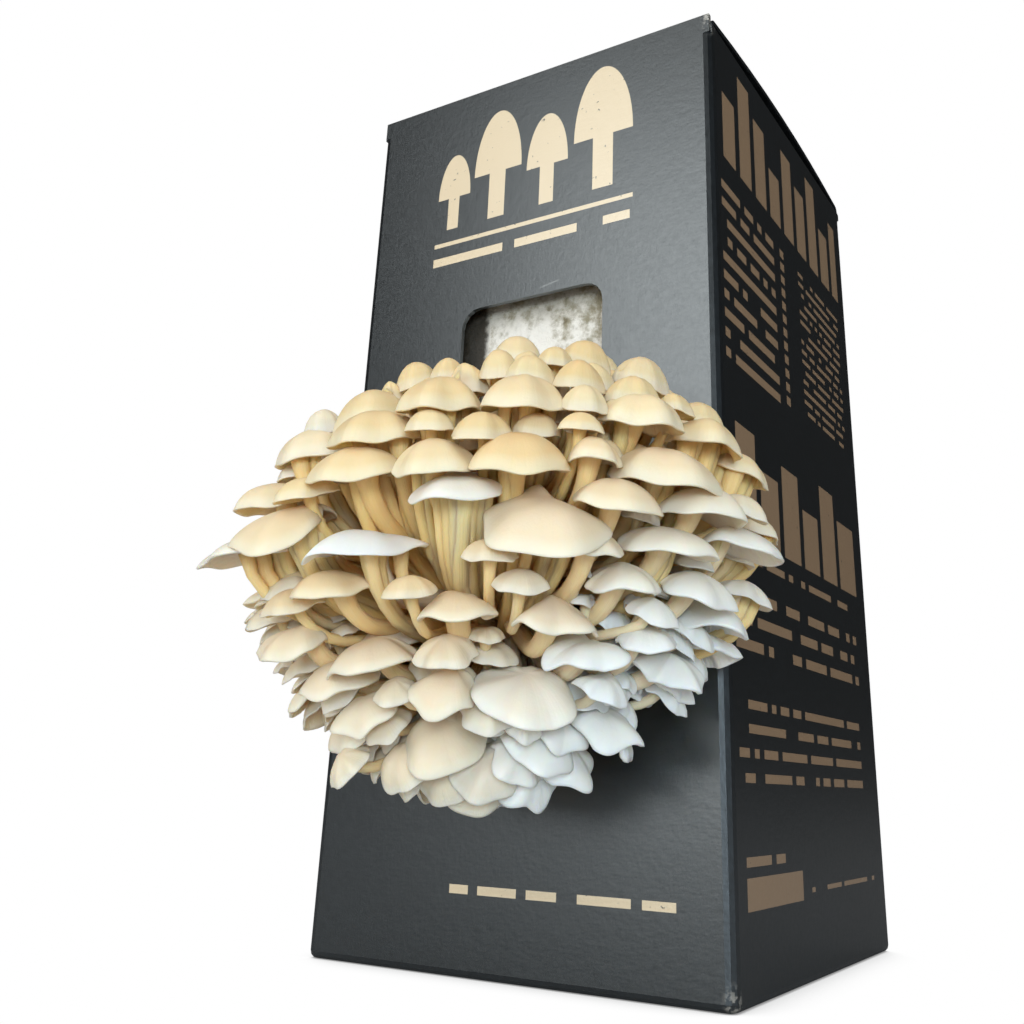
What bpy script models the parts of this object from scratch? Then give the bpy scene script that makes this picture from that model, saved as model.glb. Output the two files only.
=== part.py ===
"""Mushroom grow kit: a tall tuck-top card carton, the block of white spawn that stands in
it, and the clump of small pale mushrooms that has grown out of the carton's front window.

Metres, +Z up. The origin is the middle of the carton's underside, and the front faces -Y.
"""
import math
import random

import bmesh
import bpy
import numpy as np
from mathutils import Vector, noise
from mathutils.bvhtree import BVHTree

# Carton, one folded blank
CARTON_WIDTH = 0.103
CARTON_DEPTH = 0.108
CARTON_HEIGHT = 0.220
CARD = 0.0012
FOLD_RADIUS = 0.0016
CORNER_RADIUS = 0.0022
LID_CROWN = 0.003
SLIT = 0.0005
TUCK_FLAP = 0.016
DUST_FLAP = 0.034
FLAP_TAPER = 0.004
TUCK_INSET = 0.003
WALL_LAP = 0.002
BOTTOM_SEAM_Y = 0.012

# Window in the front panel
WINDOW_WIDTH = 0.041
WINDOW_CENTRE_X = 0.0015
WINDOW_BOTTOM = 0.046
WINDOW_TOP = 0.1528
WINDOW_CORNER = 0.005

# Spawn block
BLOCK_HEIGHT = 0.195
BLOCK_RECESS = 0.005
BLOCK_SIDE_CLEARANCE = 0.0008
BLOCK_LUMPS = 0.0012

# Gap that is left between two pieces that touch
SEAT = 0.0003

# Mound of joined feet in the window
MOUND_MARGIN = 0.002
MOUND_HALF_HEIGHT = 0.030
MOUND_BULGE = 0.018
MOUND_CENTRE_Z = 0.078
MOUND_SINK = 0.004
YOUNG_SINK = 0.0016
FOOT_SPREAD = math.radians(66)

# Dome on which the caps lie, each set back from the side where it is seen until its rim
# is on the dome; the lower half tapers and the crown slopes down to the left
DOME_CENTRE_X = 0.007
DOME_CENTRE_Z = 0.0795
DOME_STANDOFF = 0.022
DOME_RADII = (0.060, 0.048, 0.0455)
DOME_WIDEST = math.radians(118)
DOME_SLOPE = (0.09, 0.18, 0.18)
DOME_TAPER = 0.30
CAP_BACK = (math.radians(31), math.radians(-20))

# A cap looks up at the crown and outward, then down, towards the foot of the dome
TILT_CROWN = 8
TILT_FOOT = 80
TILT_FROM = -5
TILT_TO = -85

# Mushroom; a wide cap has a thick stem
STEM_RADIUS = 0.0014
STEM_FOR_CAP = 0.014
YOUNG_STEM_RADIUS = 0.0008
STEM_SWELL = 1.25
STEM_PARTING = 0.0004
CAP_DROP = 0.3
OWN_PIECE_CAP = 0.012
CAP_GAP = 0.0004
GROWTH_STEPS = 60
PARTING_STEPS = 300

# Mushrooms from the crown to the foot of the dome, each as latitude and azimuth in degrees
# (0 is level and straight out, + is up and right) and cap width in millimetres, and for a few a
# change of tilt in degrees and a share of the reach. Those left of -35 stand behind the others.
MUSHROOMS = (
    (67, 41, 10), (66, 95, 10), (66, -50, 9), (63, -12, 9), (58, 65, 10), (57, -95, 9, 0, 0.9),
    (52, -14, 9), (52, 13, 7), (51, 82, 11.5), (50, 47, 7), (53, -50, 10, 0, 0.92), (52, 112, 10),
    (49, 29, 9), (44, 19, 11), (44, -9, 16), (43, -75, 11, 0, 0.9), (43, 38, 9), (40, 50, 9.5),
    (40, 102, 11), (38, -22, 10, 0, 1.04), (36, 16, 15), (35, 62, 10), (33, 35, 15.5),
    (34, -36, 11), (33, 73, 8), (32, -98, 11, 0, 0.88), (31, -58, 11, 0, 0.9), (31, -21, 15),
    (30, 48, 9), (28, 60, 15), (27, 80, 14), (26, 3, 16), (24, 16, 8.5), (24, 97, 12.5),
    (22, -38, 13, 0, 0.93), (21, 27, 11), (20, -76, 11, 0, 0.88), (22, 46, 8), (14, 47, 12),
    (14, -28, 13.5, 0, 0.95), (13, 3, 16.5), (13, 18, 15.5), (14, 33, 17), (13, 62, 19), (12, -56, 13, 0, 0.85),
    (11, 112, 11), (9, -9, 11.5), (9, 86, 10), (8, -96, 11, 0, 0.88), (6, 22, 19, 8), (5, 70, 16),
    (4, 51, 15, 4), (1, -10, 21, 5), (2, -44, 13, 0, 0.8), (0, 84, 17, 4, 0.97), (0, -72, 13, 0, 0.82),
    (-1, 39, 23, 24), (-4, -23, 21, -2, 1.02), (-5, 63, 17, 4), (-6, 47, 12, 6), (-8, 6, 20, -16),
    (-8, 29.5, 9.5, 0, 0.95), (-9, 102, 11), (-10, -55, 13, 0, 0.84), (-12, 75, 14, 8),
    (-14, 36, 9.5, 0, 0.95), (-13, 55, 14, 4), (-14, -3, 15), (-15, 14, 9), (-18, 66, 9, 10),
    (-16, -17, 11.5), (-16, -92, 11, 0, 0.88), (-18, -35, 11.5, 0, 0.95), (-18, 88, 18), (-20, 22.5, 19.5),
    (-21, 43, 15), (-22, -58, 11.5, 0, 0.92), (-24, 66, 12), (-25, -20, 15), (-28, 54, 14),
    (-28, -86, 11, 0, 0.9), (-29, 84, 12), (-30, 1, 17), (-32, -42, 11, 0, 0.92), (-34, -14, 15),
    (-35, 64, 9.5), (-35, 104, 11), (-37, 5, 9), (-37, 22, 15), (-38, 41, 17.5), (-40, -70, 11),
    (-43, -46, 11, 0, 0.9), (-42, -10, 12), (-44, 74, 15), (-47, 94, 12), (-49, 15, 18), (-51, 54, 14),
    (-50, -24, 9, 0, 1.15), (-56, -70, 9), (-56, 80, 13), (-61, 34, 12), (-56, -6, 11, 0, 1.06), (-60, -48, 9),
    (-66, 8, 11.5), (-68, -30, 8.5), (-66, 66, 12), (-70, 112, 9), (-71, 32, 14, 0, 0.96),
)

FRONT_Y = -CARTON_DEPTH / 2
BLOCK_FRONT_Y = FRONT_Y + BLOCK_RECESS


def clear_scene():
    """Removes what the file already holds."""
    for thing in list(bpy.data.objects):
        bpy.data.objects.remove(thing, do_unlink=True)


def new_collection(name):
    """Returns a new collection that is linked to the scene."""
    collection = bpy.data.collections.new(name)
    bpy.context.scene.collection.children.link(collection)
    return collection


def make_material(name, colour, roughness):
    """Returns a plain Principled material."""
    material = bpy.data.materials.new(name)
    material.use_nodes = True
    shader = material.node_tree.nodes["Principled BSDF"]
    shader.inputs["Base Color"].default_value = (*colour, 1.0)
    shader.inputs["Roughness"].default_value = roughness
    shader.inputs["Metallic"].default_value = 0.0
    return material


def add_object(name, mesh, material, collection):
    """Places a mesh in a collection under a name and a material."""
    thing = bpy.data.objects.new(name, mesh)
    mesh.materials.append(material)
    collection.objects.link(thing)
    return thing


def mesh_from(build, name):
    """Runs a function on an empty bmesh and returns the closed mesh that it makes."""
    bm = bmesh.new()
    build(bm)
    bmesh.ops.recalc_face_normals(bm, faces=bm.faces)
    mesh = bpy.data.meshes.new(name)
    bm.to_mesh(mesh)
    bm.free()
    return mesh


def smooth_by_angle(thing, degrees):
    """Shades a piece smooth, with its sharper edges left sharp."""
    thing.data.shade_smooth()
    thing.data.set_sharp_from_angle(angle=math.radians(degrees))


# Carton

def arc(centre, radius, start, end, steps):
    """Returns points on an arc, in degrees, in a plane."""
    angles = np.radians(np.linspace(start, end, steps + 1))
    return [(centre[0] + radius * math.cos(a), centre[1] + radius * math.sin(a)) for a in angles]


def rounded_rectangle(half_x, half_y, radius, steps):
    """Returns the outline of a rectangle with round corners, counter-clockwise."""
    corners = ((1, 1, 0), (-1, 1, 90), (-1, -1, 180), (1, -1, 270))
    outline = []
    for side_x, side_y, start in corners:
        centre = (side_x * (half_x - radius), side_y * (half_y - radius))
        outline.extend(arc(centre, radius, start, start + 90, steps))
    return outline


def sheet_outline(path):
    """Returns the outline of a strip of card whose outer face follows a path.

    The card lies on the right-hand side of the path's direction.
    """
    points = [Vector(p) for p in path]
    inner = []
    for i, point in enumerate(points):
        before = points[max(i - 1, 0)]
        after = points[min(i + 1, len(points) - 1)]
        along = (after - before).normalized()
        inner.append(point + CARD * Vector((along.y, -along.x)))
    return [tuple(p) for p in points] + [tuple(p) for p in reversed(inner)]


def prism(outline, frame, low, high, name):
    """Extrudes a flat outline between two levels; frame turns (u, v, level) into a place."""
    def build(bm):
        bottom = [bm.verts.new(frame(u, v, low)) for u, v in outline]
        top = [bm.verts.new(frame(u, v, high)) for u, v in outline]
        bm.faces.new(bottom)
        bm.faces.new(top)
        for i in range(len(outline)):
            j = (i + 1) % len(outline)
            bm.faces.new((bottom[i], bottom[j], top[j], top[i]))
    return mesh_from(build, name)


def wall_solid(name, inset):
    """Returns the walls and the folded-in bottom as a block, inset from their outer faces."""
    def build(bm):
        rings = []
        for turn in np.radians(np.linspace(0, 90, 4)):
            rise = (FOLD_RADIUS - inset) * (1 - math.cos(turn))
            pinch = (FOLD_RADIUS - inset) * (1 - math.sin(turn))
            rings.append((pinch + inset, rise + inset))
        rings.append((inset, wall_end() + inset))
        loops = []
        for pinch, level in rings:
            outline = rounded_rectangle(CARTON_WIDTH / 2 - pinch, CARTON_DEPTH / 2 - pinch,
                                        CORNER_RADIUS - pinch, 3)
            loops.append([bm.verts.new((u, v, level)) for u, v in outline])
        bm.faces.new(loops[0])
        bm.faces.new(loops[-1])
        for low, high in zip(loops, loops[1:]):
            join_rings(bm, low, high)
    return mesh_from(build, name)


def closure_paths():
    """Returns side views of the lid, from front to back, and of the tuck flap, upward."""
    back = CARTON_DEPTH / 2
    tuck = FRONT_Y + CARD + SLIT
    top = CARTON_HEIGHT
    lid = [(tuck + FOLD_RADIUS / 2, top - FOLD_RADIUS / 4), (tuck + FOLD_RADIUS, top)]
    for share in np.arange(1, 8) / 8:
        y = tuck + FOLD_RADIUS + (back - tuck - 2 * FOLD_RADIUS) * share
        lid.append((y, top + LID_CROWN * 4 * share * (1 - share)))
    lid += reversed(arc((back - FOLD_RADIUS, top - FOLD_RADIUS), FOLD_RADIUS, 0, 90, 3))
    lid.append((back, wall_end() - WALL_LAP))
    flap = [(tuck, top - TUCK_FLAP)]
    flap += reversed(arc((tuck + FOLD_RADIUS, top - FOLD_RADIUS), FOLD_RADIUS, 90, 180, 3))
    flap.append((tuck + 2 * FOLD_RADIUS, top))
    return lid, flap


def wall_end():
    """Returns the height at which the upright walls end and their folds begin."""
    return CARTON_HEIGHT - CARD - SLIT - FOLD_RADIUS


def closure_meshes(name):
    """Returns the lid and its narrower tuck flap."""
    def frame(y, z, x):
        return (x, y, z)
    lid, tuck = closure_paths()
    half = CARTON_WIDTH / 2 - SLIT
    tuck_half = CARTON_WIDTH / 2 - CARD - TUCK_INSET
    return [prism(sheet_outline(lid), frame, -half, half, name),
            prism(sheet_outline(tuck), frame, -tuck_half, tuck_half, name + "_tuck")]


def side_flap_meshes(name, side):
    """Returns the fold along a side wall's end and the dust flap that it turns under the lid."""
    wall = CARTON_WIDTH / 2
    top = CARTON_HEIGHT - CARD - SLIT
    fold = list(arc((wall - FOLD_RADIUS, top - FOLD_RADIUS), FOLD_RADIUS, 90, 0, 3))
    fold.append((wall, wall_end() - WALL_LAP))
    flap = [(wall - DUST_FLAP, top), (wall - FOLD_RADIUS, top)]
    front = FRONT_Y + CARD / 2
    back = CARTON_DEPTH / 2 - CARD / 2
    flap_front = FRONT_Y + 2 * CARD + 2 * SLIT + FOLD_RADIUS

    def frame(x, z, y):
        return (side * x, y, z)
    return [prism(sheet_outline([(wall - FOLD_RADIUS - CARD, top)] + fold), frame, front, back,
                  name + "_fold"),
            prism(sheet_outline(flap), frame, flap_front, back - FLAP_TAPER, name)]


def front_lip_mesh(name):
    """Returns the raw top edge of the front panel, which stands in front of the lid's fold."""
    low = wall_end() - WALL_LAP
    half = CARTON_WIDTH / 2 - SLIT
    outline = [(-half, FRONT_Y), (half, FRONT_Y), (half, FRONT_Y + CARD), (-half, FRONT_Y + CARD)]
    return prism(outline, lambda u, v, level: (u, v, level), low, CARTON_HEIGHT, name)


def window_mesh(name):
    """Returns the cutter for the window, a bar with round corners through the front panel."""
    half_x = WINDOW_WIDTH / 2
    half_z = (WINDOW_TOP - WINDOW_BOTTOM) / 2
    centre_z = (WINDOW_TOP + WINDOW_BOTTOM) / 2
    outline = rounded_rectangle(half_x, half_z, WINDOW_CORNER, 4)
    reach = 2 * CARD

    def frame(u, v, level):
        return (WINDOW_CENTRE_X + u, level, centre_z + v)
    return prism(outline, frame, FRONT_Y - reach, FRONT_Y + reach, name)


def add_boolean(thing, operation, cutter):
    """Adds an exact Boolean with a cutter that isn't rendered."""
    cutter.hide_render = True
    cutter.display_type = 'WIRE'
    modifier = thing.modifiers.new(operation.title(), 'BOOLEAN')
    modifier.operation = operation
    modifier.solver = 'EXACT'
    modifier.object = cutter


def bottom_seam_mesh(name):
    """Returns the cutter for the slit along which the two bottom flaps meet."""
    half = CARTON_WIDTH / 2 - CORNER_RADIUS - FOLD_RADIUS
    low = BOTTOM_SEAM_Y - SLIT / 2
    high = BOTTOM_SEAM_Y + SLIT / 2
    outline = [(-half, low), (half, low), (half, high), (-half, high)]
    return prism(outline, lambda u, v, level: (u, v, level), -CARD, 2 * CARD, name)


def make_carton(parts, cutters):
    """Builds the folded carton: walls and bottom, lid with its flaps, and the front window."""
    material = make_material("carton_card", (0.075, 0.085, 0.092), 0.55)
    carton = add_object("carton", wall_solid("carton", 0.0), material, parts)
    for mesh in (wall_solid("hollow", CARD), bottom_seam_mesh("seam"), window_mesh("window")):
        add_boolean(carton, 'DIFFERENCE', add_object(mesh.name, mesh, material, cutters))
    added = closure_meshes("lid") + [front_lip_mesh("lip")]
    for side in (-1, 1):
        added += side_flap_meshes(f"flap_{side}", side)
    for mesh in added:
        add_boolean(carton, 'UNION', add_object(mesh.name, mesh, material, cutters))
    smooth_by_angle(carton, 30)


# Spawn block

def make_block(parts):
    """Builds the block of spawn, a soft-edged brick with shallow hollows in its faces."""
    low = Vector((-CARTON_WIDTH / 2 + CARD + BLOCK_SIDE_CLEARANCE, BLOCK_FRONT_Y,
                  CARD + SEAT))
    high = Vector((-low.x, CARTON_DEPTH / 2 - CARD - BLOCK_SIDE_CLEARANCE, BLOCK_HEIGHT))
    size = high - low
    middle = (high + low) / 2

    def build(bm):
        bmesh.ops.create_cube(bm, size=1.0)
        bmesh.ops.subdivide_edges(bm, edges=bm.edges, cuts=5, use_grid_fill=True)
        for vert in bm.verts:
            place = vert.co.copy()
            round_off = (2 * abs(place.x)) ** 6 + (2 * abs(place.y)) ** 6 + (2 * abs(place.z)) ** 6
            place *= round_off ** (-1 / 40)
            vert.co = Vector([place[i] * size[i] + middle[i] for i in range(3)])
            hollow = BLOCK_LUMPS * (0.5 + 0.5 * noise.noise(vert.co * 60))
            inward = (middle - vert.co).normalized()
            if vert.co.z > low.z + BLOCK_LUMPS:
                vert.co += inward * hollow
    material = make_material("spawn", (0.72, 0.68, 0.60), 0.85)
    block = add_object("spawn_block", mesh_from(build, "spawn_block"), material, parts)
    smooth_by_angle(block, 60)


# Clump

def mound_centre():
    """Returns the middle of the mound, just behind the front panel."""
    return np.array((WINDOW_CENTRE_X, FRONT_Y + MOUND_SINK, MOUND_CENTRE_Z))


def mound_radii():
    """Returns the mound's half sizes; its width follows the window's."""
    return np.array((WINDOW_WIDTH / 2 - MOUND_MARGIN, MOUND_BULGE, MOUND_HALF_HEIGHT))


def unit(vector):
    """Returns a vector at length one."""
    return vector / np.linalg.norm(vector)


def direction(azimuth, latitude):
    """Returns the outward direction for an azimuth and a latitude in radians."""
    return np.array((
        math.sin(azimuth) * math.cos(latitude),
        -math.cos(azimuth) * math.cos(latitude),
        math.sin(latitude)))


def foot_place(outward):
    """Returns the foot of the stem that ends in an outward direction, and its first heading."""
    spread = math.acos(max(-1.0, min(1.0, -outward[1])))
    roll = math.atan2(outward[2], outward[0])
    theta = FOOT_SPREAD * (spread / DOME_WIDEST) ** 0.9
    on_ball = np.array((math.sin(theta) * math.cos(roll), -math.cos(theta),
                        math.sin(theta) * math.sin(roll)))
    return on_mound(mound_centre() + mound_radii() * on_ball)


def on_mound(place):
    """Moves a place onto the mound's skin and returns it with the outward normal there."""
    radii = mound_radii()
    on_ball = unit((place - mound_centre()) / radii)
    return mound_centre() + radii * on_ball, unit(on_ball / radii)


def tilt_at(latitude):
    """Returns a cap's lean from upright in degrees, from its row's latitude in degrees."""
    share = max(0.0, min(1.0, (TILT_FROM - latitude) / (TILT_FROM - TILT_TO)))
    return TILT_CROWN + (TILT_FOOT - TILT_CROWN) * share * share * (3 - 2 * share)


class Mushroom:
    """One mushroom: where its cap sits, how the cap leans, and how its stem runs."""

    def __init__(self, latitude, azimuth, cap_width, tilt_change=0, reach=1.0):
        chance = random.Random(f"{latitude} {azimuth}")
        self.young = cap_width / 1000 < OWN_PIECE_CAP
        self.radius = cap_width / 2000
        self.sides = 7 if self.young else 10
        self.stem_sides = 4 if self.young else 5
        self.stem_radius = YOUNG_STEM_RADIUS
        if not self.young:
            self.stem_radius = STEM_RADIUS * math.sqrt(2 * self.radius / STEM_FOR_CAP)
        azimuth = math.radians(azimuth)
        tilt = math.radians(tilt_at(latitude) + tilt_change + chance.uniform(-5, 5))
        outward = direction(azimuth, math.radians(latitude))
        level = direction(azimuth, 0.0)
        up = np.array((0.0, 0.0, 1.0))
        self.normal = up * math.cos(tilt) + level * math.sin(tilt)
        self.out = level * math.cos(tilt) - up * math.sin(tilt)
        self.side = np.cross(self.normal, self.out)
        self.flatness = chance.uniform(0.9, 1.1)
        self.dome = self.dome_height(latitude)
        self.lopsided = 0.15 if self.young else 0.35
        lowness = max(0.0, min(1.0, -latitude / 40))
        self.wave = 0.0 if self.young else chance.uniform(0.02, 0.10) * (1 + 0.8 * lowness)
        self.wave_turn = chance.uniform(0, 2 * math.pi)
        self.outline = self.full_outline()
        dome_centre = np.array((DOME_CENTRE_X, FRONT_Y - DOME_STANDOFF, DOME_CENTRE_Z))
        slope = np.array(DOME_SLOPE) * math.sin(math.radians(2 * max(latitude, 0.0))) ** 2
        slope *= 0.35 - 0.65 * math.sin(azimuth)
        spread = 1 - DOME_TAPER * max(0.0, min(1.0, -latitude / 55))
        radii = np.array(DOME_RADII) * (spread, spread, 1.0)
        skin = unit(outward / radii)
        back = self.outline[0] * max(0.0, np.dot(self.out, skin))
        front = direction(*CAP_BACK)
        facing = max(0.0, np.dot(front, skin))
        self.neck = dome_centre + radii * outward * (reach - slope) - front * back * facing
        self.neck -= skin * back * 0.6 * (1 - facing)
        self.neck[1] = min(self.neck[1], FRONT_Y - self.radius)
        self.foot, heading = foot_place(outward)
        self.stations = self.bend(heading)

    def dome_height(self, latitude):
        """Returns the cap's height above its rim; crown caps and young caps are rounder."""
        share = max(0.0, min(1.0, latitude / 35))
        height = 0.42 + 0.28 * share
        if self.young:
            height += 0.10
        return self.radius * height * self.flatness

    def drop(self):
        """Returns how far the rim hangs below the top of the stem."""
        return CAP_DROP * self.dome

    def full_outline(self):
        """Returns the cap's radius in each direction around its stem, with no neighbours."""
        angles = 2 * math.pi * np.arange(self.sides) / self.sides
        shift = self.lopsided
        lobed = shift * np.cos(angles) + np.sqrt(1 - (shift * np.sin(angles)) ** 2)
        waves = 1 + self.wave * np.cos(3 * angles + self.wave_turn)
        return self.radius * lobed * waves

    def foot_lift(self):
        """Returns the foot's height on the mound: a young one is joined to it."""
        return -YOUNG_SINK if self.young else SEAT

    def bend(self, heading):
        """Returns four stations on a smooth curve from the foot to the neck."""
        start = self.foot + heading * self.foot_lift()
        length = np.linalg.norm(self.neck - start)
        handle_a = start + heading * length * 0.35
        handle_b = self.neck - self.normal * length * 0.35
        stations = []
        for t in np.linspace(0, 1, 4):
            stations.append((1 - t) ** 3 * start + 3 * t * (1 - t) ** 2 * handle_a
                            + 3 * t * t * (1 - t) * handle_b + t ** 3 * self.neck)
        return np.array(stations)

    def stem_radii(self):
        """Returns the stem's radius at each station."""
        return self.stem_radius * np.linspace(1, STEM_SWELL, 4)

    def stem_rings(self, swell=0.0):
        """Returns the stem's rings, one around each station, with no twist between them."""
        count = len(self.stations)
        radii = self.stem_radii() + swell
        angles = 2 * math.pi * np.arange(self.stem_sides) / self.stem_sides
        across = self.out
        rings = []
        for i in reversed(range(count)):
            if i == count - 1:
                along = self.normal
            else:
                along = unit(self.stations[i + 1] - self.stations[max(i - 1, 0)])
            across = unit(across - along * np.dot(across, along))
            third = np.cross(along, across)
            rings.append([self.stations[i] + radii[i] * (math.cos(a) * across + math.sin(a) * third)
                          for a in angles])
        return rings[::-1]

    def cap_rings(self, swell=0.0):
        """Returns the cap's rim, its shoulder and its crown point."""
        angles = 2 * math.pi * np.arange(self.sides) / self.sides
        rim = []
        shoulder = []
        crown_shift = 0.5 * (self.outline[0] - self.outline[self.sides // 2]) * 0.5
        crown = self.neck + self.out * crown_shift + self.normal * ((1 - CAP_DROP) * self.dome + swell)
        for angle, radius in zip(angles, self.outline):
            spoke = math.cos(angle) * self.out + math.sin(angle) * self.side
            lift = 0.6 * self.wave * self.radius * math.cos(2 * angle + self.wave_turn)
            edge = self.neck + spoke * (radius + swell) + self.normal * (lift - self.drop())
            rim.append(edge)
            middle = crown + (edge - crown) * 0.62
            shoulder.append(middle + self.normal * (0.30 * self.dome + swell))
        return rim, shoulder, crown


def join_rings(bm, ring_a, ring_b):
    """Closes the band between two rings that may have unlike numbers of points."""
    count_a = len(ring_a)
    count_b = len(ring_b)
    i = 0
    j = 0
    while i < count_a or j < count_b:
        next_a = (i + 1) / count_a
        next_b = (j + 1) / count_b
        if count_a == count_b:
            bm.faces.new((ring_a[i], ring_a[(i + 1) % count_a],
                          ring_b[(j + 1) % count_b], ring_b[j]))
            i += 1
            j += 1
        elif j >= count_b or (i < count_a and next_a <= next_b):
            bm.faces.new((ring_a[i % count_a], ring_a[(i + 1) % count_a], ring_b[j % count_b]))
            i += 1
        else:
            bm.faces.new((ring_a[i % count_a], ring_b[(j + 1) % count_b], ring_b[j % count_b]))
            j += 1


def add_stem(bm, mushroom, swell=0.0):
    """Lofts a stem and returns its top ring."""
    rings = [[bm.verts.new(p) for p in ring] for ring in mushroom.stem_rings(swell)]
    bm.faces.new(list(reversed(rings[0])))
    for low, high in zip(rings, rings[1:]):
        join_rings(bm, low, high)
    return rings[-1]


def add_cap(bm, mushroom, neck, swell=0.0):
    """Lofts a cap from the stem's top ring, under the gills to the rim and over the crown."""
    rim_places, shoulder_places, crown_place = mushroom.cap_rings(swell)
    rim = [bm.verts.new(p) for p in rim_places]
    shoulder = [bm.verts.new(p) for p in shoulder_places]
    crown = bm.verts.new(crown_place)
    join_rings(bm, neck, rim)
    join_rings(bm, rim, shoulder)
    for i in range(len(shoulder)):
        bm.faces.new((shoulder[i], shoulder[(i + 1) % len(shoulder)], crown))


def closest_shares(start_a, along_a, start_b, along_b):
    """Returns how far along each of two straight runs their closest points lie, 0 to 1."""
    between = start_a - start_b
    aa = (along_a * along_a).sum(axis=1)
    bb = (along_b * along_b).sum(axis=1)
    ab = (along_a * along_b).sum(axis=1)
    a_gap = (along_a * between).sum(axis=1)
    b_gap = (along_b * between).sum(axis=1)
    share_a = np.clip((ab * b_gap - a_gap * bb) / np.maximum(aa * bb - ab * ab, 1e-18), 0, 1)
    share_b = np.clip((ab * share_a + b_gap) / bb, 0, 1)
    share_a = np.clip((ab * share_b - a_gap) / aa, 0, 1)
    return share_a, share_b


def part_stems(mushrooms):
    """Moves the runs of stems that touch apart, as crowded stems grow around each other."""
    stations = np.array([m.stations for m in mushrooms])
    feet = np.array([m.foot for m in mushrooms])
    radii = np.array([m.stem_radii() for m in mushrooms])
    run_radii = np.maximum(radii[:, :-1], radii[:, 1:]).reshape(-1)
    stem = np.repeat(np.arange(len(mushrooms)), 3)
    low = np.tile(np.arange(3), len(mushrooms))
    first, second = np.triu_indices(len(stem), 1)
    unlike = stem[first] != stem[second]
    first, second = first[unlike], second[unlike]
    wanted = run_radii[first] + run_radii[second] + STEM_PARTING
    limit = FRONT_Y - STEM_SWELL * STEM_RADIUS - STEM_PARTING
    for _ in range(PARTING_STEPS):
        starts = stations[stem, low]
        alongs = stations[stem, low + 1] - starts
        share_a, share_b = closest_shares(starts[first], alongs[first], starts[second],
                                          alongs[second])
        apart = (starts[first] + alongs[first] * share_a[:, None]
                 - starts[second] - alongs[second] * share_b[:, None])
        distance = np.sqrt((apart * apart).sum(axis=1)) + 1e-9
        near = distance < wanted
        push = apart[near] * (0.5 * (wanted[near] / distance[near] - 1))[:, None]
        moved = np.zeros_like(stations)
        touches = np.zeros(stations.shape[:2])
        for side, run, share in ((1, first[near], share_a[near]), (-1, second[near], share_b[near])):
            for end, weight in ((0, 1 - share), (1, share)):
                place = (stem[run], low[run] + end)
                np.add.at(moved, place, side * push * weight[:, None])
                np.add.at(touches, place, weight)
        moved /= np.maximum(touches, 1)[:, :, None]
        feet += moved[:, 0]
        feet[:, 1] = np.minimum(feet[:, 1], limit)
        stations[:, 1:3] += moved[:, 1:3]
        stations[:, 1:3, 1] = np.minimum(stations[:, 1:3, 1], limit)
        for n, mushroom in enumerate(mushrooms):
            feet[n], heading = on_mound(feet[n])
            stations[n, 0] = feet[n] + heading * mushroom.foot_lift()
    for mushroom, places in zip(mushrooms, stations):
        mushroom.stations = places


def triangles_of(build):
    """Returns the points and the triangles that a function adds to an empty bmesh."""
    bm = bmesh.new()
    build(bm)
    bmesh.ops.triangulate(bm, faces=bm.faces)
    bm.verts.index_update()
    points = [tuple(v.co) for v in bm.verts]
    faces = [tuple(v.index for v in f.verts) for f in bm.faces]
    bm.free()
    return points, faces


def tree_of(pieces):
    """Returns one search tree over several lists of points and triangles."""
    points = []
    faces = []
    for piece_points, piece_faces in pieces:
        start = len(points)
        points.extend(piece_points)
        faces.extend(tuple(i + start for i in face) for face in piece_faces)
    return BVHTree.FromPolygons(points, faces)


def cap_shape(mushroom, swell):
    """Returns the points and triangles of a cap, closed across its neck."""
    def build(bm):
        neck = [bm.verts.new(p) for p in mushroom.stem_rings()[-1]]
        add_cap(bm, mushroom, neck, swell)
    return triangles_of(build)


def grow_caps(mushrooms, mound):
    """Lets each cap spread to its full width, except where it would meet a neighbour."""
    half = CARTON_WIDTH / 2
    wall_y = FRONT_Y - CAP_GAP
    wall = ([(-half, wall_y, 0), (half, wall_y, 0), (half, wall_y, CARTON_HEIGHT),
             (-half, wall_y, CARTON_HEIGHT)], [(0, 1, 2), (0, 2, 3)])
    stems = [triangles_of(lambda bm, m=m: add_stem(bm, m, CAP_GAP)) for m in mushrooms]
    grown = {}
    order = sorted(range(len(mushrooms)), key=lambda n: -mushrooms[n].radius)
    for n in order:
        mushroom = mushrooms[n]
        others = [s for k, s in enumerate(stems) if k != n] + list(grown.values())
        obstacles = tree_of(others + [wall, mound])
        least = 1.4 * mushroom.stem_radius * STEM_SWELL
        for _ in range(GROWTH_STEPS):
            points, faces = cap_shape(mushroom, 0.0)
            hits = BVHTree.FromPolygons(points, faces).overlap(obstacles)
            if not hits:
                break
            for face in {own for own, _ in hits}:
                pull_in(mushroom, points, faces[face], least)
        grown[n] = cap_shape(mushroom, CAP_GAP)


def pull_in(mushroom, points, face, least):
    """Shortens the cap in the directions of a face that meets a neighbour."""
    middle = np.mean([points[i] for i in face], axis=0) - mushroom.neck
    angle = math.atan2(np.dot(middle, mushroom.side), np.dot(middle, mushroom.out))
    place = angle / (2 * math.pi) * mushroom.sides
    for k in (math.floor(place), math.ceil(place)):
        k = k % mushroom.sides
        mushroom.outline[k] = max(least, mushroom.outline[k] * 0.95)


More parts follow.
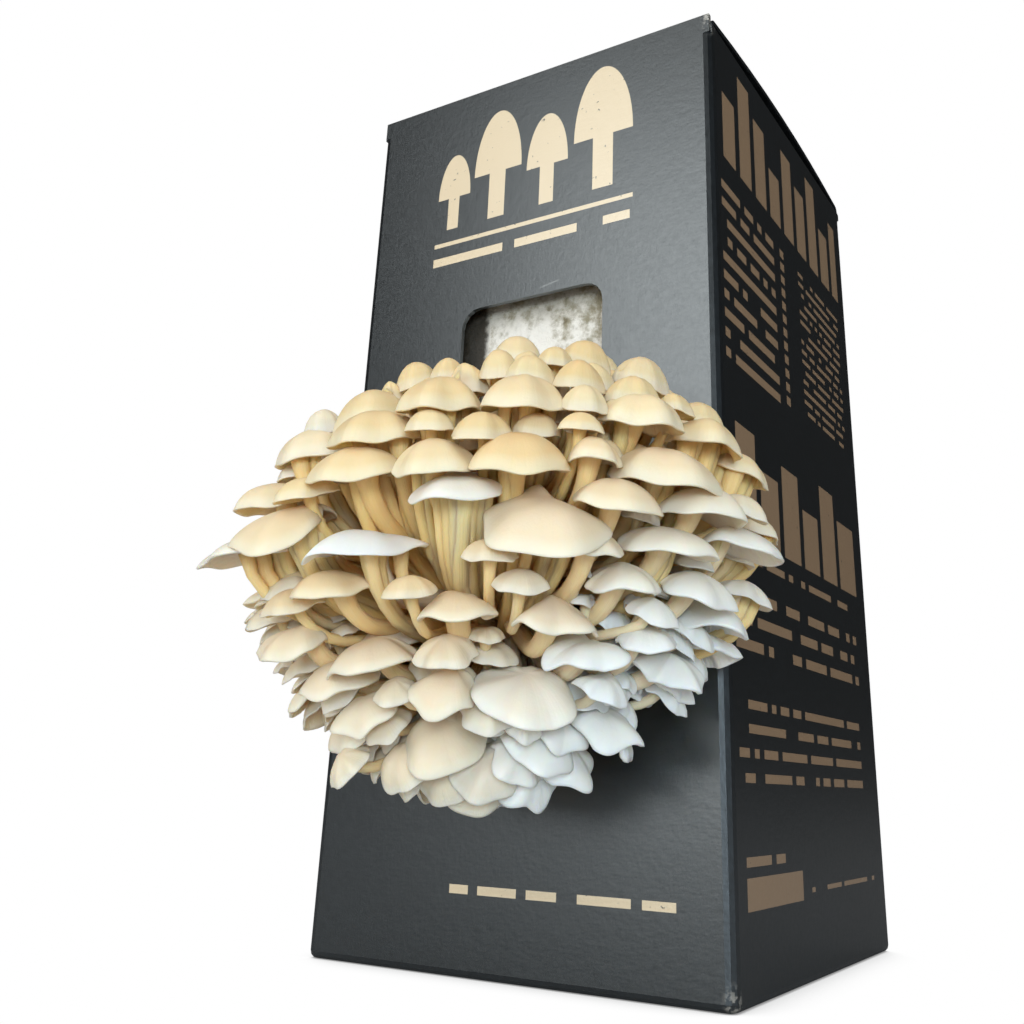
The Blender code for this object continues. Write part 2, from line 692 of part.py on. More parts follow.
def mound_shape(bm):
    """Adds the mound, half a lumpy ball that is cut flat where it grows out of the block."""
    bmesh.ops.create_uvsphere(bm, u_segments=20, v_segments=14, radius=1.0)
    centre = mound_centre()
    radii = mound_radii()
    for vert in bm.verts:
        vert.co = Vector(centre + radii * np.array(vert.co))
    cut_y = BLOCK_FRONT_Y - SEAT
    everything = bm.verts[:] + bm.edges[:] + bm.faces[:]
    bmesh.ops.bisect_plane(bm, geom=everything, plane_co=(0, cut_y, 0), plane_no=(0, 1, 0),
                           clear_outer=True)
    rim = [e for e in bm.edges if e.is_boundary]
    bmesh.ops.contextual_create(bm, geom=rim)


def make_clump(parts, cutters):
    """Builds the mound of joined feet with its young mushrooms, and each grown mushroom."""
    mushrooms = [Mushroom(*values) for values in MUSHROOMS]
    part_stems(mushrooms)
    grow_caps(mushrooms, triangles_of(mound_shape))
    flesh = make_material("mushroom_flesh", (0.80, 0.66, 0.44), 0.5)

    def build_young(bm):
        for mushroom in mushrooms:
            if mushroom.young:
                add_cap(bm, mushroom, add_stem(bm, mushroom))
    mound = add_object("cluster_base", mesh_from(mound_shape, "cluster_base"), flesh, parts)
    young = add_object("young", mesh_from(build_young, "young"), flesh, cutters)
    add_boolean(mound, 'UNION', young)
    smooth_by_angle(mound, 50)
    number = 0
    for mushroom in mushrooms:
        if mushroom.young:
            continue
        number += 1
        name = f"mushroom_{number:02d}"
        mesh = mesh_from(lambda bm, m=mushroom: add_cap(bm, m, add_stem(bm, m)), name)
        smooth_by_angle(add_object(name, mesh, flesh.copy(), parts), 50)


def main():
    """Builds the whole kit."""
    clear_scene()
    parts = new_collection("mushroom_grow_kit")
    cutters = new_collection("cutters")
    make_carton(parts, cutters)
    make_block(parts)
    make_clump(parts, cutters)


main()
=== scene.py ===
"""Looks of the mushroom grow kit: printed card, mottled spawn and a dense clump of mushrooms.

Each fine mushroom follows the same placing and growing rules as the solid it stands for.
"""
import math
import random

import bmesh
import bpy
import numpy as np
from mathutils import Matrix, Vector, noise
from mathutils.bvhtree import BVHTree


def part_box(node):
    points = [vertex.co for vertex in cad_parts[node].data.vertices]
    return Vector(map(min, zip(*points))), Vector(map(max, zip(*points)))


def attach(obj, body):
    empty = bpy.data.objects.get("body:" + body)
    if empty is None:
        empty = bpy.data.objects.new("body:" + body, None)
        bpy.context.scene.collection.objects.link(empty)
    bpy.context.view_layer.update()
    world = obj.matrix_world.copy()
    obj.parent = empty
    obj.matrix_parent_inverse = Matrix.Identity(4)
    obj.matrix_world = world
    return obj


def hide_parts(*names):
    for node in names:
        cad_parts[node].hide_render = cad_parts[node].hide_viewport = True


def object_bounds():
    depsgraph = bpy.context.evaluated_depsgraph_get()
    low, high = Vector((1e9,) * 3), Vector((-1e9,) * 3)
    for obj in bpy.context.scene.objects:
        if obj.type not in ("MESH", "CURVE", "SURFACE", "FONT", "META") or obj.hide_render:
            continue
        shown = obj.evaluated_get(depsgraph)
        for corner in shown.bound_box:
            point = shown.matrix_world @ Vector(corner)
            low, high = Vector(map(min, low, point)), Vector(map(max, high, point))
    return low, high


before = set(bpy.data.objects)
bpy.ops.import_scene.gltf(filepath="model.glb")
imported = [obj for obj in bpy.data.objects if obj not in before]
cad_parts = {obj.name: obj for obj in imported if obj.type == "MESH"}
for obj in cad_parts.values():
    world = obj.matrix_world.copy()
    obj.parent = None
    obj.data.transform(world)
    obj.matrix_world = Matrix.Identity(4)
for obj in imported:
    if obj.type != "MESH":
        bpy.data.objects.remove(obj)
CAD_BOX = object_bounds()

# Carton
CARTON_WIDTH = 0.103
CARTON_DEPTH = 0.108
CARTON_HEIGHT = 0.220
FRONT_Y = -CARTON_DEPTH / 2
SEAT = 0.0003

# Window in the front panel and the block behind it, with painted shade in dark brown on the block
# left of an edge
WINDOW_WIDTH = 0.041
WINDOW_CENTRE_X = 0.0015
WINDOW_TOP = 0.1528
BLOCK_FRONT_Y = FRONT_Y + 0.005
LEFT_SHADE_EDGE = -0.0150

# Mound of joined feet in the window
MOUND_MARGIN = 0.002
MOUND_HALF_HEIGHT = 0.030
MOUND_BULGE = 0.018
MOUND_CENTRE_Z = 0.078
MOUND_SINK = 0.004
YOUNG_SINK = 0.0016
FOOT_SPREAD = math.radians(66)

# Dome on which the caps lie, each set back from the side where it is seen until its rim
# is on the dome; the lower half tapers and the crown slopes down to the left
DOME_CENTRE_X = 0.007
DOME_CENTRE_Z = 0.0795
DOME_STANDOFF = 0.022
DOME_RADII = (0.060, 0.048, 0.0455)
DOME_WIDEST = math.radians(118)
DOME_SLOPE = (0.09, 0.18, 0.18)
DOME_TAPER = 0.30
CAP_BACK = (math.radians(31), math.radians(-20))

# A cap looks up at the crown and outward, then down, towards the foot of the dome
TILT_CROWN = 8
TILT_FOOT = 80
TILT_FROM = -5
TILT_TO = -85

# Mushroom; a wide cap has a thick stem
STEM_RADIUS = 0.0014
STEM_FOR_CAP = 0.014
YOUNG_STEM_RADIUS = 0.0008
STEM_SWELL = 1.25
STEM_PARTING = 0.0004
CAP_DROP = 0.3
OWN_PIECE_CAP = 0.012
CAP_GAP = 0.0004
GROWTH_STEPS = 60
PARTING_STEPS = 300

# Mushrooms from the crown to the foot of the dome, each as latitude and azimuth in degrees
# (0 is level and straight out, + is up and right) and cap width in millimetres, and for a few a
# change of tilt in degrees and a share of the reach. Those left of -35 stand behind the others.
MUSHROOMS = (
    (67, 41, 10), (66, 95, 10), (66, -50, 9), (63, -12, 9), (58, 65, 10), (57, -95, 9, 0, 0.9),
    (52, -14, 9), (52, 13, 7), (51, 82, 11.5), (50, 47, 7), (53, -50, 10, 0, 0.92), (52, 112, 10),
    (49, 29, 9), (44, 19, 11), (44, -9, 16), (43, -75, 11, 0, 0.9), (43, 38, 9), (40, 50, 9.5),
    (40, 102, 11), (38, -22, 10, 0, 1.04), (36, 16, 15), (35, 62, 10), (33, 35, 15.5),
    (34, -36, 11), (33, 73, 8), (32, -98, 11, 0, 0.88), (31, -58, 11, 0, 0.9), (31, -21, 15),
    (30, 48, 9), (28, 60, 15), (27, 80, 14), (26, 3, 16), (24, 16, 8.5), (24, 97, 12.5),
    (22, -38, 13, 0, 0.93), (21, 27, 11), (20, -76, 11, 0, 0.88), (22, 46, 8), (14, 47, 12),
    (14, -28, 13.5, 0, 0.95), (13, 3, 16.5), (13, 18, 15.5), (14, 33, 17), (13, 62, 19),
    (12, -56, 13, 0, 0.85), (11, 112, 11), (9, -9, 11.5), (9, 86, 10), (8, -96, 11, 0, 0.88),
    (6, 22, 19, 8), (5, 70, 16), (4, 51, 15, 4), (1, -10, 21, 5), (2, -44, 13, 0, 0.8),
    (0, 84, 17, 4, 0.97), (0, -72, 13, 0, 0.82), (-1, 39, 23, 24), (-4, -23, 21, -2, 1.02),
    (-5, 63, 17, 4), (-6, 47, 12, 6), (-8, 6, 20, -16), (-8, 29.5, 9.5, 0, 0.95), (-9, 102, 11),
    (-10, -55, 13, 0, 0.84), (-12, 75, 14, 8), (-14, 36, 9.5, 0, 0.95), (-13, 55, 14, 4),
    (-14, -3, 15), (-15, 14, 9), (-18, 66, 9, 10), (-16, -17, 11.5), (-16, -92, 11, 0, 0.88),
    (-18, -35, 11.5, 0, 0.95), (-18, 88, 18), (-20, 22.5, 19.5), (-21, 43, 15),
    (-22, -58, 11.5, 0, 0.92), (-24, 66, 12), (-25, -20, 15), (-28, 54, 14),
    (-28, -86, 11, 0, 0.9), (-29, 84, 12), (-30, 1, 17), (-32, -42, 11, 0, 0.92), (-34, -14, 15),
    (-35, 64, 9.5), (-35, 104, 11), (-37, 5, 9), (-37, 22, 15), (-38, 41, 17.5), (-40, -70, 11),
    (-43, -46, 11, 0, 0.9), (-42, -10, 12), (-44, 74, 15), (-47, 94, 12), (-49, 15, 18),
    (-51, 54, 14), (-50, -24, 9, 0, 1.15), (-56, -70, 9), (-56, 80, 13), (-61, 34, 12),
    (-56, -6, 11, 0, 1.06), (-60, -48, 9), (-66, 8, 11.5), (-68, -30, 8.5), (-66, 66, 12),
    (-70, 112, 9), (-71, 32, 14, 0, 0.96),
)

# Fine mushrooms: material places, then for grown and young ones a cap's sides, its rings from
# crown to rim and from rim to stem, and a stem's sides and rings
SKIN_SLOT, GILL_SLOT, STEM_SLOT = range(3)
CAP_SIDES = 108
YOUNG_CAP_SIDES = 52
TOP_SHARES = (0.04, 0.14, 0.26, 0.38, 0.50, 0.61, 0.71, 0.80, 0.88, 0.94, 0.98, 1.0)
YOUNG_TOP_SHARES = (0.06, 0.2, 0.4, 0.6, 0.78, 0.92, 1.0)
UNDER_SHARES = (0.95, 0.88, 0.78, 0.66, 0.52, 0.38)
YOUNG_UNDER_SHARES = (0.9, 0.7, 0.45)
STEM_MESH = (14, 22)
YOUNG_STEM_MESH = (9, 12)

# Thickness of a cap's margin, depth of the gills on a cap of the full radius and where they end,
# a cap's nod outwards as a share of its radius, the mound's sides, rings and dents
CAP_MARGIN = 0.0006
GILL_DEPTH = 0.00022
GILL_FULL_RADIUS = 0.008
GILL_END = 0.97
CAP_NOD = 0.24
MOUND_MESH = (56, 26)
MOUND_DENTS = 0.0007

# Caps of their own form, by latitude and azimuth:
# (height share, rim wave, wave turn, paleness that is partly painted cool light, nod share)
OWN_FORMS = {
    (6, 22): (0.42, 0.05, 0.0, 0.75, 1.0),
    (-8, 6): (0.50, 0.10, 3.1, 1.00, 2.2),
    (-1, 39): (0.66, 0.14, -1.3, 0.35, 1.3),
    (-4, -23): (0.80, 0.05, 1.6, 0.60, 0.3),
    (1, -10): (0.80, 0.22, 2.4, 0.20, 1.0),
    (13, 62): (1.25, 0.04, 0.0, 0.25, 1.0),
    (14, 33): (1.25, 0.04, 0.0, 0.00, 1.0),
    (-20, 22.5): (0.75, 0.08, 0.0, 0.30, 1.0),
    (-21, 43): (0.85, 0.06, 1.0, 0.45, 1.0),
    (5, 70): (1.10, 0.22, 0.4, 0.50, 1.0),
    (0, 84): (1.10, 0.20, 0.8, 0.75, 1.0),
}

# Open valley in the clump where only long stems stand, as (least, most) in degrees
VALLEY_LATITUDE = (-29, 15)
VALLEY_AZIMUTH = (-22, 48)

# Small mushrooms in the gaps between the others
FILLER_SEED = 7
FILLER_LATITUDES = (60, 48, 38, 28, 20, 12, 4, -4, -12, -20)
FILLER_STEP = 9
FILLER_WIDTH = (6.0, 9.5)
FILLER_REACH = (0.80, 0.95)
FILLER_LEAST = 0.45

# Crowded petals of the lower half: (least, most) of what each is given, widest first
PETAL_SEED = 5
PETAL_TRIES = 2200
PETAL_FEET = 6
PETAL_LATITUDE = (-80, -10)
PETAL_AZIMUTH = (-100, 108)
PETAL_RIGHT = (45, 112)
PETAL_WIDTH = (15.0, 6.5)
PETAL_REACH = (0.74, 0.98)
PETAL_TILT = 12
PETAL_CORE = 0.70

# Stems under the wide caps: the caps' least width and latitudes, stems for each and for each in
# the valley, then what a stem is given
INNER_SEED = 11
INNER_FROM = 0.0105
INNER_TURN = math.radians(110)
INNER_LATITUDE = (-15, 62)
INNER_EACH = 9
INNER_VALLEY = 26
INNER_SHARE = (0.20, 0.66)
INNER_STEM = (0.0008, 0.0014)
INNER_TOP = 0.0006
FOOT_LOWER = 24

# Generic print on the card, in metres on its face: mushroom signs as (centre, width, height)
# over a rule as (left, right, low, high), bands of blocks as (left, right, share of the height),
# rows of dashes as (left, right, low, high, rows, cell, share filled, weight), seeded on the front
PRINT_EDGE = 0.00006
SIGN_FOOT = 0.1785
SIGN_BRIM = 0.42
SIGN_STEM = 0.17
FRONT_RULE = (-0.030, 0.030, 0.1735, 0.1747)
FRONT_ROWS = (
    ((-0.030, 0.0292, 0.1668, 0.1712, 1, 0.0037, 0.75, 0.55), 3.0),
    ((-0.013, 0.0398, 0.0150, 0.0185, 1, 0.0024, 0.80, 0.50), 8.0),
)
FRONT_SIGNS = ((-0.0245, 0.0105, 0.023), (-0.0105, 0.0150, 0.033), (0.0050, 0.0125, 0.027),
               (0.0215, 0.0170, 0.036))
SIDE_BANDS = ((0.182, 0.212), (0.090, 0.115))
SIDE_BLOCKS = (
    ((6, 14, 0.62), (17, 25, 1.0), (28, 36, 0.8), (39, 47, 0.5), (50, 58, 0.9), (61, 69, 0.7),
     (72, 80, 1.0), (83, 91, 0.6), (94, 100, 0.85)),
    ((8, 20, 1.0), (23, 35, 0.7), (38, 50, 0.9), (53, 65, 0.6), (68, 80, 1.0), (83, 98, 0.75)),
)
SIDE_ROWS = (
    (0.004, 0.040, 0.128, 0.176, 10, 0.0030, 0.78, 0.46),
    (0.045, 0.048, 0.130, 0.176, 12, 0.0030, 2.0, 0.60),
    (0.060, 0.0974, 0.132, 0.176, 15, 0.0022, 0.75, 0.40),
    (0.007, 0.088, 0.084, 0.087, 1, 0.0030, 0.80, 0.55),
    (0.005, 0.0946, 0.064, 0.080, 3, 0.0032, 0.78, 0.42),
    (0.005, 0.0918, 0.038, 0.057, 4, 0.0028, 0.78, 0.38),
    (0.007, 0.0294, 0.0235, 0.0265, 1, 0.0028, 0.80, 0.60),
    (0.007, 0.040, 0.0160, 0.0225, 1, 0.0110, 2.0, 0.90),
    (0.046, 0.0966, 0.0170, 0.0190, 1, 0.0022, 0.75, 0.50),
)

# Colours, 0 to 255; the whites are partly painted cool light, the stem's amber is partly painted
# warm bounce light, and the spawn's shades and the card's shadow are painted shade
SKIN_CREAM = (238, 213, 168)
SKIN_TAN = (226, 190, 136)
SKIN_CROWN = (230, 188, 128)
SKIN_MARGIN = (250, 239, 212)
SKIN_WHITE_AND_COOL_LIGHT = (238, 245, 246)
GILL_CREAM = (244, 204, 146)
GILL_TAN = (226, 172, 106)
GILL_MARGIN = (248, 226, 184)
GILL_WHITE_AND_COOL_LIGHT = (246, 244, 236)
STEM_AMBER_AND_BOUNCE_LIGHT = (248, 184, 96)
STEM_CREAM = (252, 214, 148)
STEM_FIBRE = (236, 174, 98)
STEM_LIGHT = (250, 224, 172)
STEM_WHITE_AND_COOL_LIGHT = (238, 236, 226)
SPAWN_WHITE = (240, 237, 228)
SPAWN_GREY = (158, 151, 128)
SPAWN_GRAIN = (104, 92, 70)
SPAWN_SHADE = (128, 121, 98)
SPAWN_LEFT_SHADE = (44, 38, 28)
CARD_DARK = (7, 8, 9)
CARD_LIGHT = (13, 16, 18)
CARD_CLOUD = (18, 21, 24)
CARD_EDGE = (40, 38, 36)
CARD_CREASE = (150, 150, 146)
CARD_SHADOW = (4, 4, 5)
CARD_WORN = (190, 184, 172)
FRONT_INK = (222, 200, 162)
SIDE_INK = (146, 118, 88)

# Folded edge of the front panel that shows in the window, and the crease over the window
PANEL_SKIN = 0.0008
CREASE_X = 0.007
CREASE_RISE = 0.0022
CREASE_SLOPE = 0.18

# Fine surface of the block: cuts along each edge, and how deep its lumps and grains go
BLOCK_CUTS = 95
BLOCK_LUMPS = 0.0010
BLOCK_GRAINS = 0.0007

# Stage: floor, world and lamps as (name, place, target, width and height, watts, colour)
FLOOR_HALF = 3.0
CONTACT_SHADOW = 0.02
FLOOR_TONE = 0.60
FLOOR_GLOSS = 0.30
WORLD_LIGHT = 0.60
WORLD_GLOSS = 0.035
LAMPS = (
    ("window", (-0.30, -1.00, 0.42), (0.0, -0.06, 0.09), (0.46, 0.80), 3.7, (1.0, 0.985, 0.955)),
    ("above", (-0.10, -0.46, 0.95), (0.0, -0.07, 0.10), (0.40, 0.40), 0.45, (1.0, 0.96, 0.88)),
    ("cool", (0.46, -0.72, 0.10), (0.03, -0.08, 0.06), (0.30, 0.18), 3.2, (0.78, 0.90, 1.0)),
)

# Camera: place, direction as azimuth, elevation and roll in degrees, lens and shift
CAMERA_PLACE = Vector((0.13277, -0.25802, 0.03780))
CAMERA_ANGLES = (-30.954, 20.129, 1.681)
CAMERA_LENS = 37.52
CAMERA_SHIFT = (-0.0449, -0.1144)


def unit(vector):
    """Returns a vector at length one."""
    return vector / np.linalg.norm(vector)


def bounded(value):
    """Returns a number kept between 0 and 1."""
    return max(0.0, min(1.0, value))


def add_object(name, data):
    """Returns a new object in the scene that holds the data."""
    thing = bpy.data.objects.new(name, data)
    bpy.context.scene.collection.objects.link(thing)
    return thing


def mesh_of(bm, name):
    """Returns a mesh made of a bmesh, which is freed."""
    mesh = bpy.data.meshes.new(name)
    bm.to_mesh(mesh)
    bm.free()
    return mesh


def mound_centre():
    """Returns the middle of the mound, just behind the front panel."""
    return np.array((WINDOW_CENTRE_X, FRONT_Y + MOUND_SINK, MOUND_CENTRE_Z))


def mound_radii():
    """Returns the mound's half sizes; its width follows the window's."""
    return np.array((WINDOW_WIDTH / 2 - MOUND_MARGIN, MOUND_BULGE, MOUND_HALF_HEIGHT))


def direction(azimuth, latitude):
    """Returns the outward direction for an azimuth and a latitude in radians."""
    return np.array((
        math.sin(azimuth) * math.cos(latitude),
        -math.cos(azimuth) * math.cos(latitude),
        math.sin(latitude)))


def foot_place(outward):
    """Returns the foot of the stem that ends in an outward direction, and its first heading."""
    spread = math.acos(max(-1.0, min(1.0, -outward[1])))
    roll = math.atan2(outward[2], outward[0])
    theta = FOOT_SPREAD * (spread / DOME_WIDEST) ** 0.9
    on_ball = np.array((math.sin(theta) * math.cos(roll), -math.cos(theta),
                        math.sin(theta) * math.sin(roll)))
    return on_mound(mound_centre() + mound_radii() * on_ball)


def on_mound(place):
    """Moves a place onto the mound's skin and returns it with the outward normal there."""
    radii = mound_radii()
    on_ball = unit((place - mound_centre()) / radii)
    return mound_centre() + radii * on_ball, unit(on_ball / radii)


def tilt_at(latitude):
    """Returns a cap's lean from upright in degrees, from its row's latitude in degrees."""
    share = bounded((TILT_FROM - latitude) / (TILT_FROM - TILT_TO))
    return TILT_CROWN + (TILT_FOOT - TILT_CROWN) * share * share * (3 - 2 * share)


class Mushroom:
    """One mushroom: where its cap sits, how the cap leans, and how its stem runs."""

    def __init__(self, latitude, azimuth, cap_width, tilt_change=0, reach=1.0):
        chance = random.Random(f"{latitude} {azimuth}")
        self.young = cap_width / 1000 < OWN_PIECE_CAP
        self.radius = cap_width / 2000
        self.sides = 7 if self.young else 10
        self.stem_sides = 4 if self.young else 5
        self.stem_radius = YOUNG_STEM_RADIUS
        if not self.young:
            self.stem_radius = STEM_RADIUS * math.sqrt(2 * self.radius / STEM_FOR_CAP)
        azimuth = math.radians(azimuth)
        tilt = math.radians(tilt_at(latitude) + tilt_change + chance.uniform(-5, 5))
        outward = direction(azimuth, math.radians(latitude))
        level = direction(azimuth, 0.0)
        up = np.array((0.0, 0.0, 1.0))
        self.normal = up * math.cos(tilt) + level * math.sin(tilt)
        self.out = level * math.cos(tilt) - up * math.sin(tilt)
        self.side = np.cross(self.normal, self.out)
        self.flatness = chance.uniform(0.9, 1.1)
        self.dome = self.dome_height(latitude)
        self.lopsided = 0.15 if self.young else 0.35
        lowness = bounded(-latitude / 40)
        self.wave = 0.0 if self.young else chance.uniform(0.02, 0.10) * (1 + 0.8 * lowness)
        self.wave_turn = chance.uniform(0, 2 * math.pi)
        self.outline = self.full_outline()
        dome_centre = np.array((DOME_CENTRE_X, FRONT_Y - DOME_STANDOFF, DOME_CENTRE_Z))
        slope = np.array(DOME_SLOPE) * math.sin(math.radians(2 * max(latitude, 0.0))) ** 2
        slope *= 0.35 - 0.65 * math.sin(azimuth)
        spread = 1 - DOME_TAPER * bounded(-latitude / 55)
        radii = np.array(DOME_RADII) * (spread, spread, 1.0)
        skin = unit(outward / radii)
        back = self.outline[0] * max(0.0, np.dot(self.out, skin))
        front = direction(*CAP_BACK)
        facing = max(0.0, np.dot(front, skin))
        self.neck = dome_centre + radii * outward * (reach - slope) - front * back * facing
        self.neck -= skin * back * 0.6 * (1 - facing)
        self.neck[1] = min(self.neck[1], FRONT_Y - self.radius)
        self.foot, heading = foot_place(outward)
        self.stations = self.bend(heading)

    def dome_height(self, latitude):
        """Returns the cap's height above its rim; crown caps and young caps are rounder."""
        height = 0.42 + 0.28 * bounded(latitude / 35) + (0.10 if self.young else 0.0)
        return self.radius * height * self.flatness

    def drop(self):
        """Returns how far the rim hangs below the top of the stem."""
        return CAP_DROP * self.dome

    def full_outline(self):
        """Returns the cap's radius in each direction around its stem, with no neighbours."""
        angles = 2 * math.pi * np.arange(self.sides) / self.sides
        shift = self.lopsided
        lobed = shift * np.cos(angles) + np.sqrt(1 - (shift * np.sin(angles)) ** 2)
        waves = 1 + self.wave * np.cos(3 * angles + self.wave_turn)
        return self.radius * lobed * waves

    def foot_lift(self):
        """Returns the foot's height on the mound: a young one is joined to it."""
        return -YOUNG_SINK if self.young else SEAT

    def bend(self, heading):
        """Returns four stations on a smooth curve from the foot to the neck."""
        start = self.foot + heading * self.foot_lift()
        length = np.linalg.norm(self.neck - start)
        handle_a = start + heading * length * 0.35
        handle_b = self.neck - self.normal * length * 0.35
        stations = []
        for t in np.linspace(0, 1, 4):
            stations.append((1 - t) ** 3 * start + 3 * t * (1 - t) ** 2 * handle_a
                            + 3 * t * t * (1 - t) * handle_b + t ** 3 * self.neck)
        return np.array(stations)

    def stem_radii(self):
        """Returns the stem's radius at each station."""
        return self.stem_radius * np.linspace(1, STEM_SWELL, 4)

    def stem_rings(self, swell=0.0):
        """Returns the stem's rings, one around each station, with no twist between them."""
        count = len(self.stations)
        radii = self.stem_radii() + swell
        angles = 2 * math.pi * np.arange(self.stem_sides) / self.stem_sides
        across = self.out
        rings = []
        for i in reversed(range(count)):
            if i == count - 1:
                along = self.normal
            else:
                along = unit(self.stations[i + 1] - self.stations[max(i - 1, 0)])
            across = unit(across - along * np.dot(across, along))
            third = np.cross(along, across)
            rings.append([self.stations[i] + radii[i] * (math.cos(a) * across + math.sin(a) * third)
                          for a in angles])
        return rings[::-1]

    def cap_rings(self, swell=0.0):
        """Returns the cap's rim, its shoulder and its crown point."""
        angles = 2 * math.pi * np.arange(self.sides) / self.sides
        rim = []
        shoulder = []
        crown_shift = 0.25 * (self.outline[0] - self.outline[self.sides // 2])
        crown = self.neck + self.out * crown_shift
        crown = crown + self.normal * ((1 - CAP_DROP) * self.dome + swell)
        for angle, radius in zip(angles, self.outline):
            spoke = math.cos(angle) * self.out + math.sin(angle) * self.side
            lift = 0.6 * self.wave * self.radius * math.cos(2 * angle + self.wave_turn)
            edge = self.neck + spoke * (radius + swell) + self.normal * (lift - self.drop())
            rim.append(edge)
            middle = crown + (edge - crown) * 0.62
            shoulder.append(middle + self.normal * (0.30 * self.dome + swell))
        return rim, shoulder, crown


def join_rings(bm, ring_a, ring_b):
    """Closes the band between two rings that may have unlike numbers of points."""
    count_a = len(ring_a)
    count_b = len(ring_b)
    i = 0
    j = 0
    while i < count_a or j < count_b:
        next_a = (i + 1) / count_a
        next_b = (j + 1) / count_b
        if count_a == count_b:
            bm.faces.new((ring_a[i], ring_a[(i + 1) % count_a],
                          ring_b[(j + 1) % count_b], ring_b[j]))
            i += 1
            j += 1
        elif j >= count_b or (i < count_a and next_a <= next_b):
            bm.faces.new((ring_a[i % count_a], ring_a[(i + 1) % count_a], ring_b[j % count_b]))
            i += 1
        else:
            bm.faces.new((ring_a[i % count_a], ring_b[(j + 1) % count_b], ring_b[j % count_b]))
            j += 1


def add_stem(bm, mushroom, swell=0.0):
    """Lofts a stem and returns its top ring."""
    rings = [[bm.verts.new(p) for p in ring] for ring in mushroom.stem_rings(swell)]
    bm.faces.new(list(reversed(rings[0])))
    for low, high in zip(rings, rings[1:]):
        join_rings(bm, low, high)
    return rings[-1]


def add_cap(bm, mushroom, neck, swell=0.0):
    """Lofts a cap from the stem's top ring, under the gills to the rim and over the crown."""
    rim_places, shoulder_places, crown_place = mushroom.cap_rings(swell)
    rim = [bm.verts.new(p) for p in rim_places]
    shoulder = [bm.verts.new(p) for p in shoulder_places]
    crown = bm.verts.new(crown_place)
    join_rings(bm, neck, rim)
    join_rings(bm, rim, shoulder)
    for i in range(len(shoulder)):
        bm.faces.new((shoulder[i], shoulder[(i + 1) % len(shoulder)], crown))


def closest_shares(start_a, along_a, start_b, along_b):
    """Returns how far along each of two straight runs their closest points lie, 0 to 1."""
    between = start_a - start_b
    aa = (along_a * along_a).sum(axis=1)
    bb = (along_b * along_b).sum(axis=1)
    ab = (along_a * along_b).sum(axis=1)
    a_gap = (along_a * between).sum(axis=1)
    b_gap = (along_b * between).sum(axis=1)
    share_a = np.clip((ab * b_gap - a_gap * bb) / np.maximum(aa * bb - ab * ab, 1e-18), 0, 1)
    share_b = np.clip((ab * share_a + b_gap) / bb, 0, 1)
    share_a = np.clip((ab * share_b - a_gap) / aa, 0, 1)
    return share_a, share_b


def part_stems(mushrooms):
    """Moves the runs of stems that touch apart, as crowded stems grow around each other."""
    stations = np.array([m.stations for m in mushrooms])
    feet = np.array([m.foot for m in mushrooms])
    radii = np.array([m.stem_radii() for m in mushrooms])
    run_radii = np.maximum(radii[:, :-1], radii[:, 1:]).reshape(-1)
    stem = np.repeat(np.arange(len(mushrooms)), 3)
    low = np.tile(np.arange(3), len(mushrooms))
    first, second = np.triu_indices(len(stem), 1)
    unlike = stem[first] != stem[second]
    first, second = first[unlike], second[unlike]
    wanted = run_radii[first] + run_radii[second] + STEM_PARTING
    limit = FRONT_Y - STEM_SWELL * STEM_RADIUS - STEM_PARTING
    for _ in range(PARTING_STEPS):
        starts = stations[stem, low]
        alongs = stations[stem, low + 1] - starts
        share_a, share_b = closest_shares(starts[first], alongs[first], starts[second],
                                          alongs[second])
        apart = (starts[first] + alongs[first] * share_a[:, None]
                 - starts[second] - alongs[second] * share_b[:, None])
        distance = np.sqrt((apart * apart).sum(axis=1)) + 1e-9
        near = distance < wanted
        push = apart[near] * (0.5 * (wanted[near] / distance[near] - 1))[:, None]
        moved = np.zeros_like(stations)
        touches = np.zeros(stations.shape[:2])
        for side, run, share in ((1, first[near], share_a[near]),
                                 (-1, second[near], share_b[near])):
            for end, weight in ((0, 1 - share), (1, share)):
                place = (stem[run], low[run] + end)
                np.add.at(moved, place, side * push * weight[:, None])
                np.add.at(touches, place, weight)
        moved /= np.maximum(touches, 1)[:, :, None]
        feet += moved[:, 0]
        feet[:, 1] = np.minimum(feet[:, 1], limit)
        stations[:, 1:3] += moved[:, 1:3]
        stations[:, 1:3, 1] = np.minimum(stations[:, 1:3, 1], limit)
        for n, mushroom in enumerate(mushrooms):
            feet[n], heading = on_mound(feet[n])
            stations[n, 0] = feet[n] + heading * mushroom.foot_lift()
    for mushroom, places in zip(mushrooms, stations):
        mushroom.stations = places


def triangles_of(build):
    """Returns the points and the triangles that a function adds to an empty bmesh."""
    bm = bmesh.new()
    build(bm)
    bmesh.ops.triangulate(bm, faces=bm.faces)
    bm.verts.index_update()
    points = [tuple(v.co) for v in bm.verts]
    faces = [tuple(v.index for v in f.verts) for f in bm.faces]
    bm.free()
    return points, faces


def stem_shape(mushroom, swell=0.0):
    """Returns the points and triangles of a stem."""
    return triangles_of(lambda bm: add_stem(bm, mushroom, swell))


def tree_of(pieces):
    """Returns one search tree over several lists of points and triangles."""
    points = []
    faces = []
    for piece_points, piece_faces in pieces:
        start = len(points)
        points.extend(piece_points)
        faces.extend(tuple(i + start for i in face) for face in piece_faces)
    return BVHTree.FromPolygons(points, faces)


def cap_shape(mushroom, swell):
    """Returns the points and triangles of a cap, closed across its neck."""
    def build(bm):
        """Adds the cap on a ring of its own."""
        neck = [bm.verts.new(p) for p in mushroom.stem_rings()[-1]]
        add_cap(bm, mushroom, neck, swell)
    return triangles_of(build)


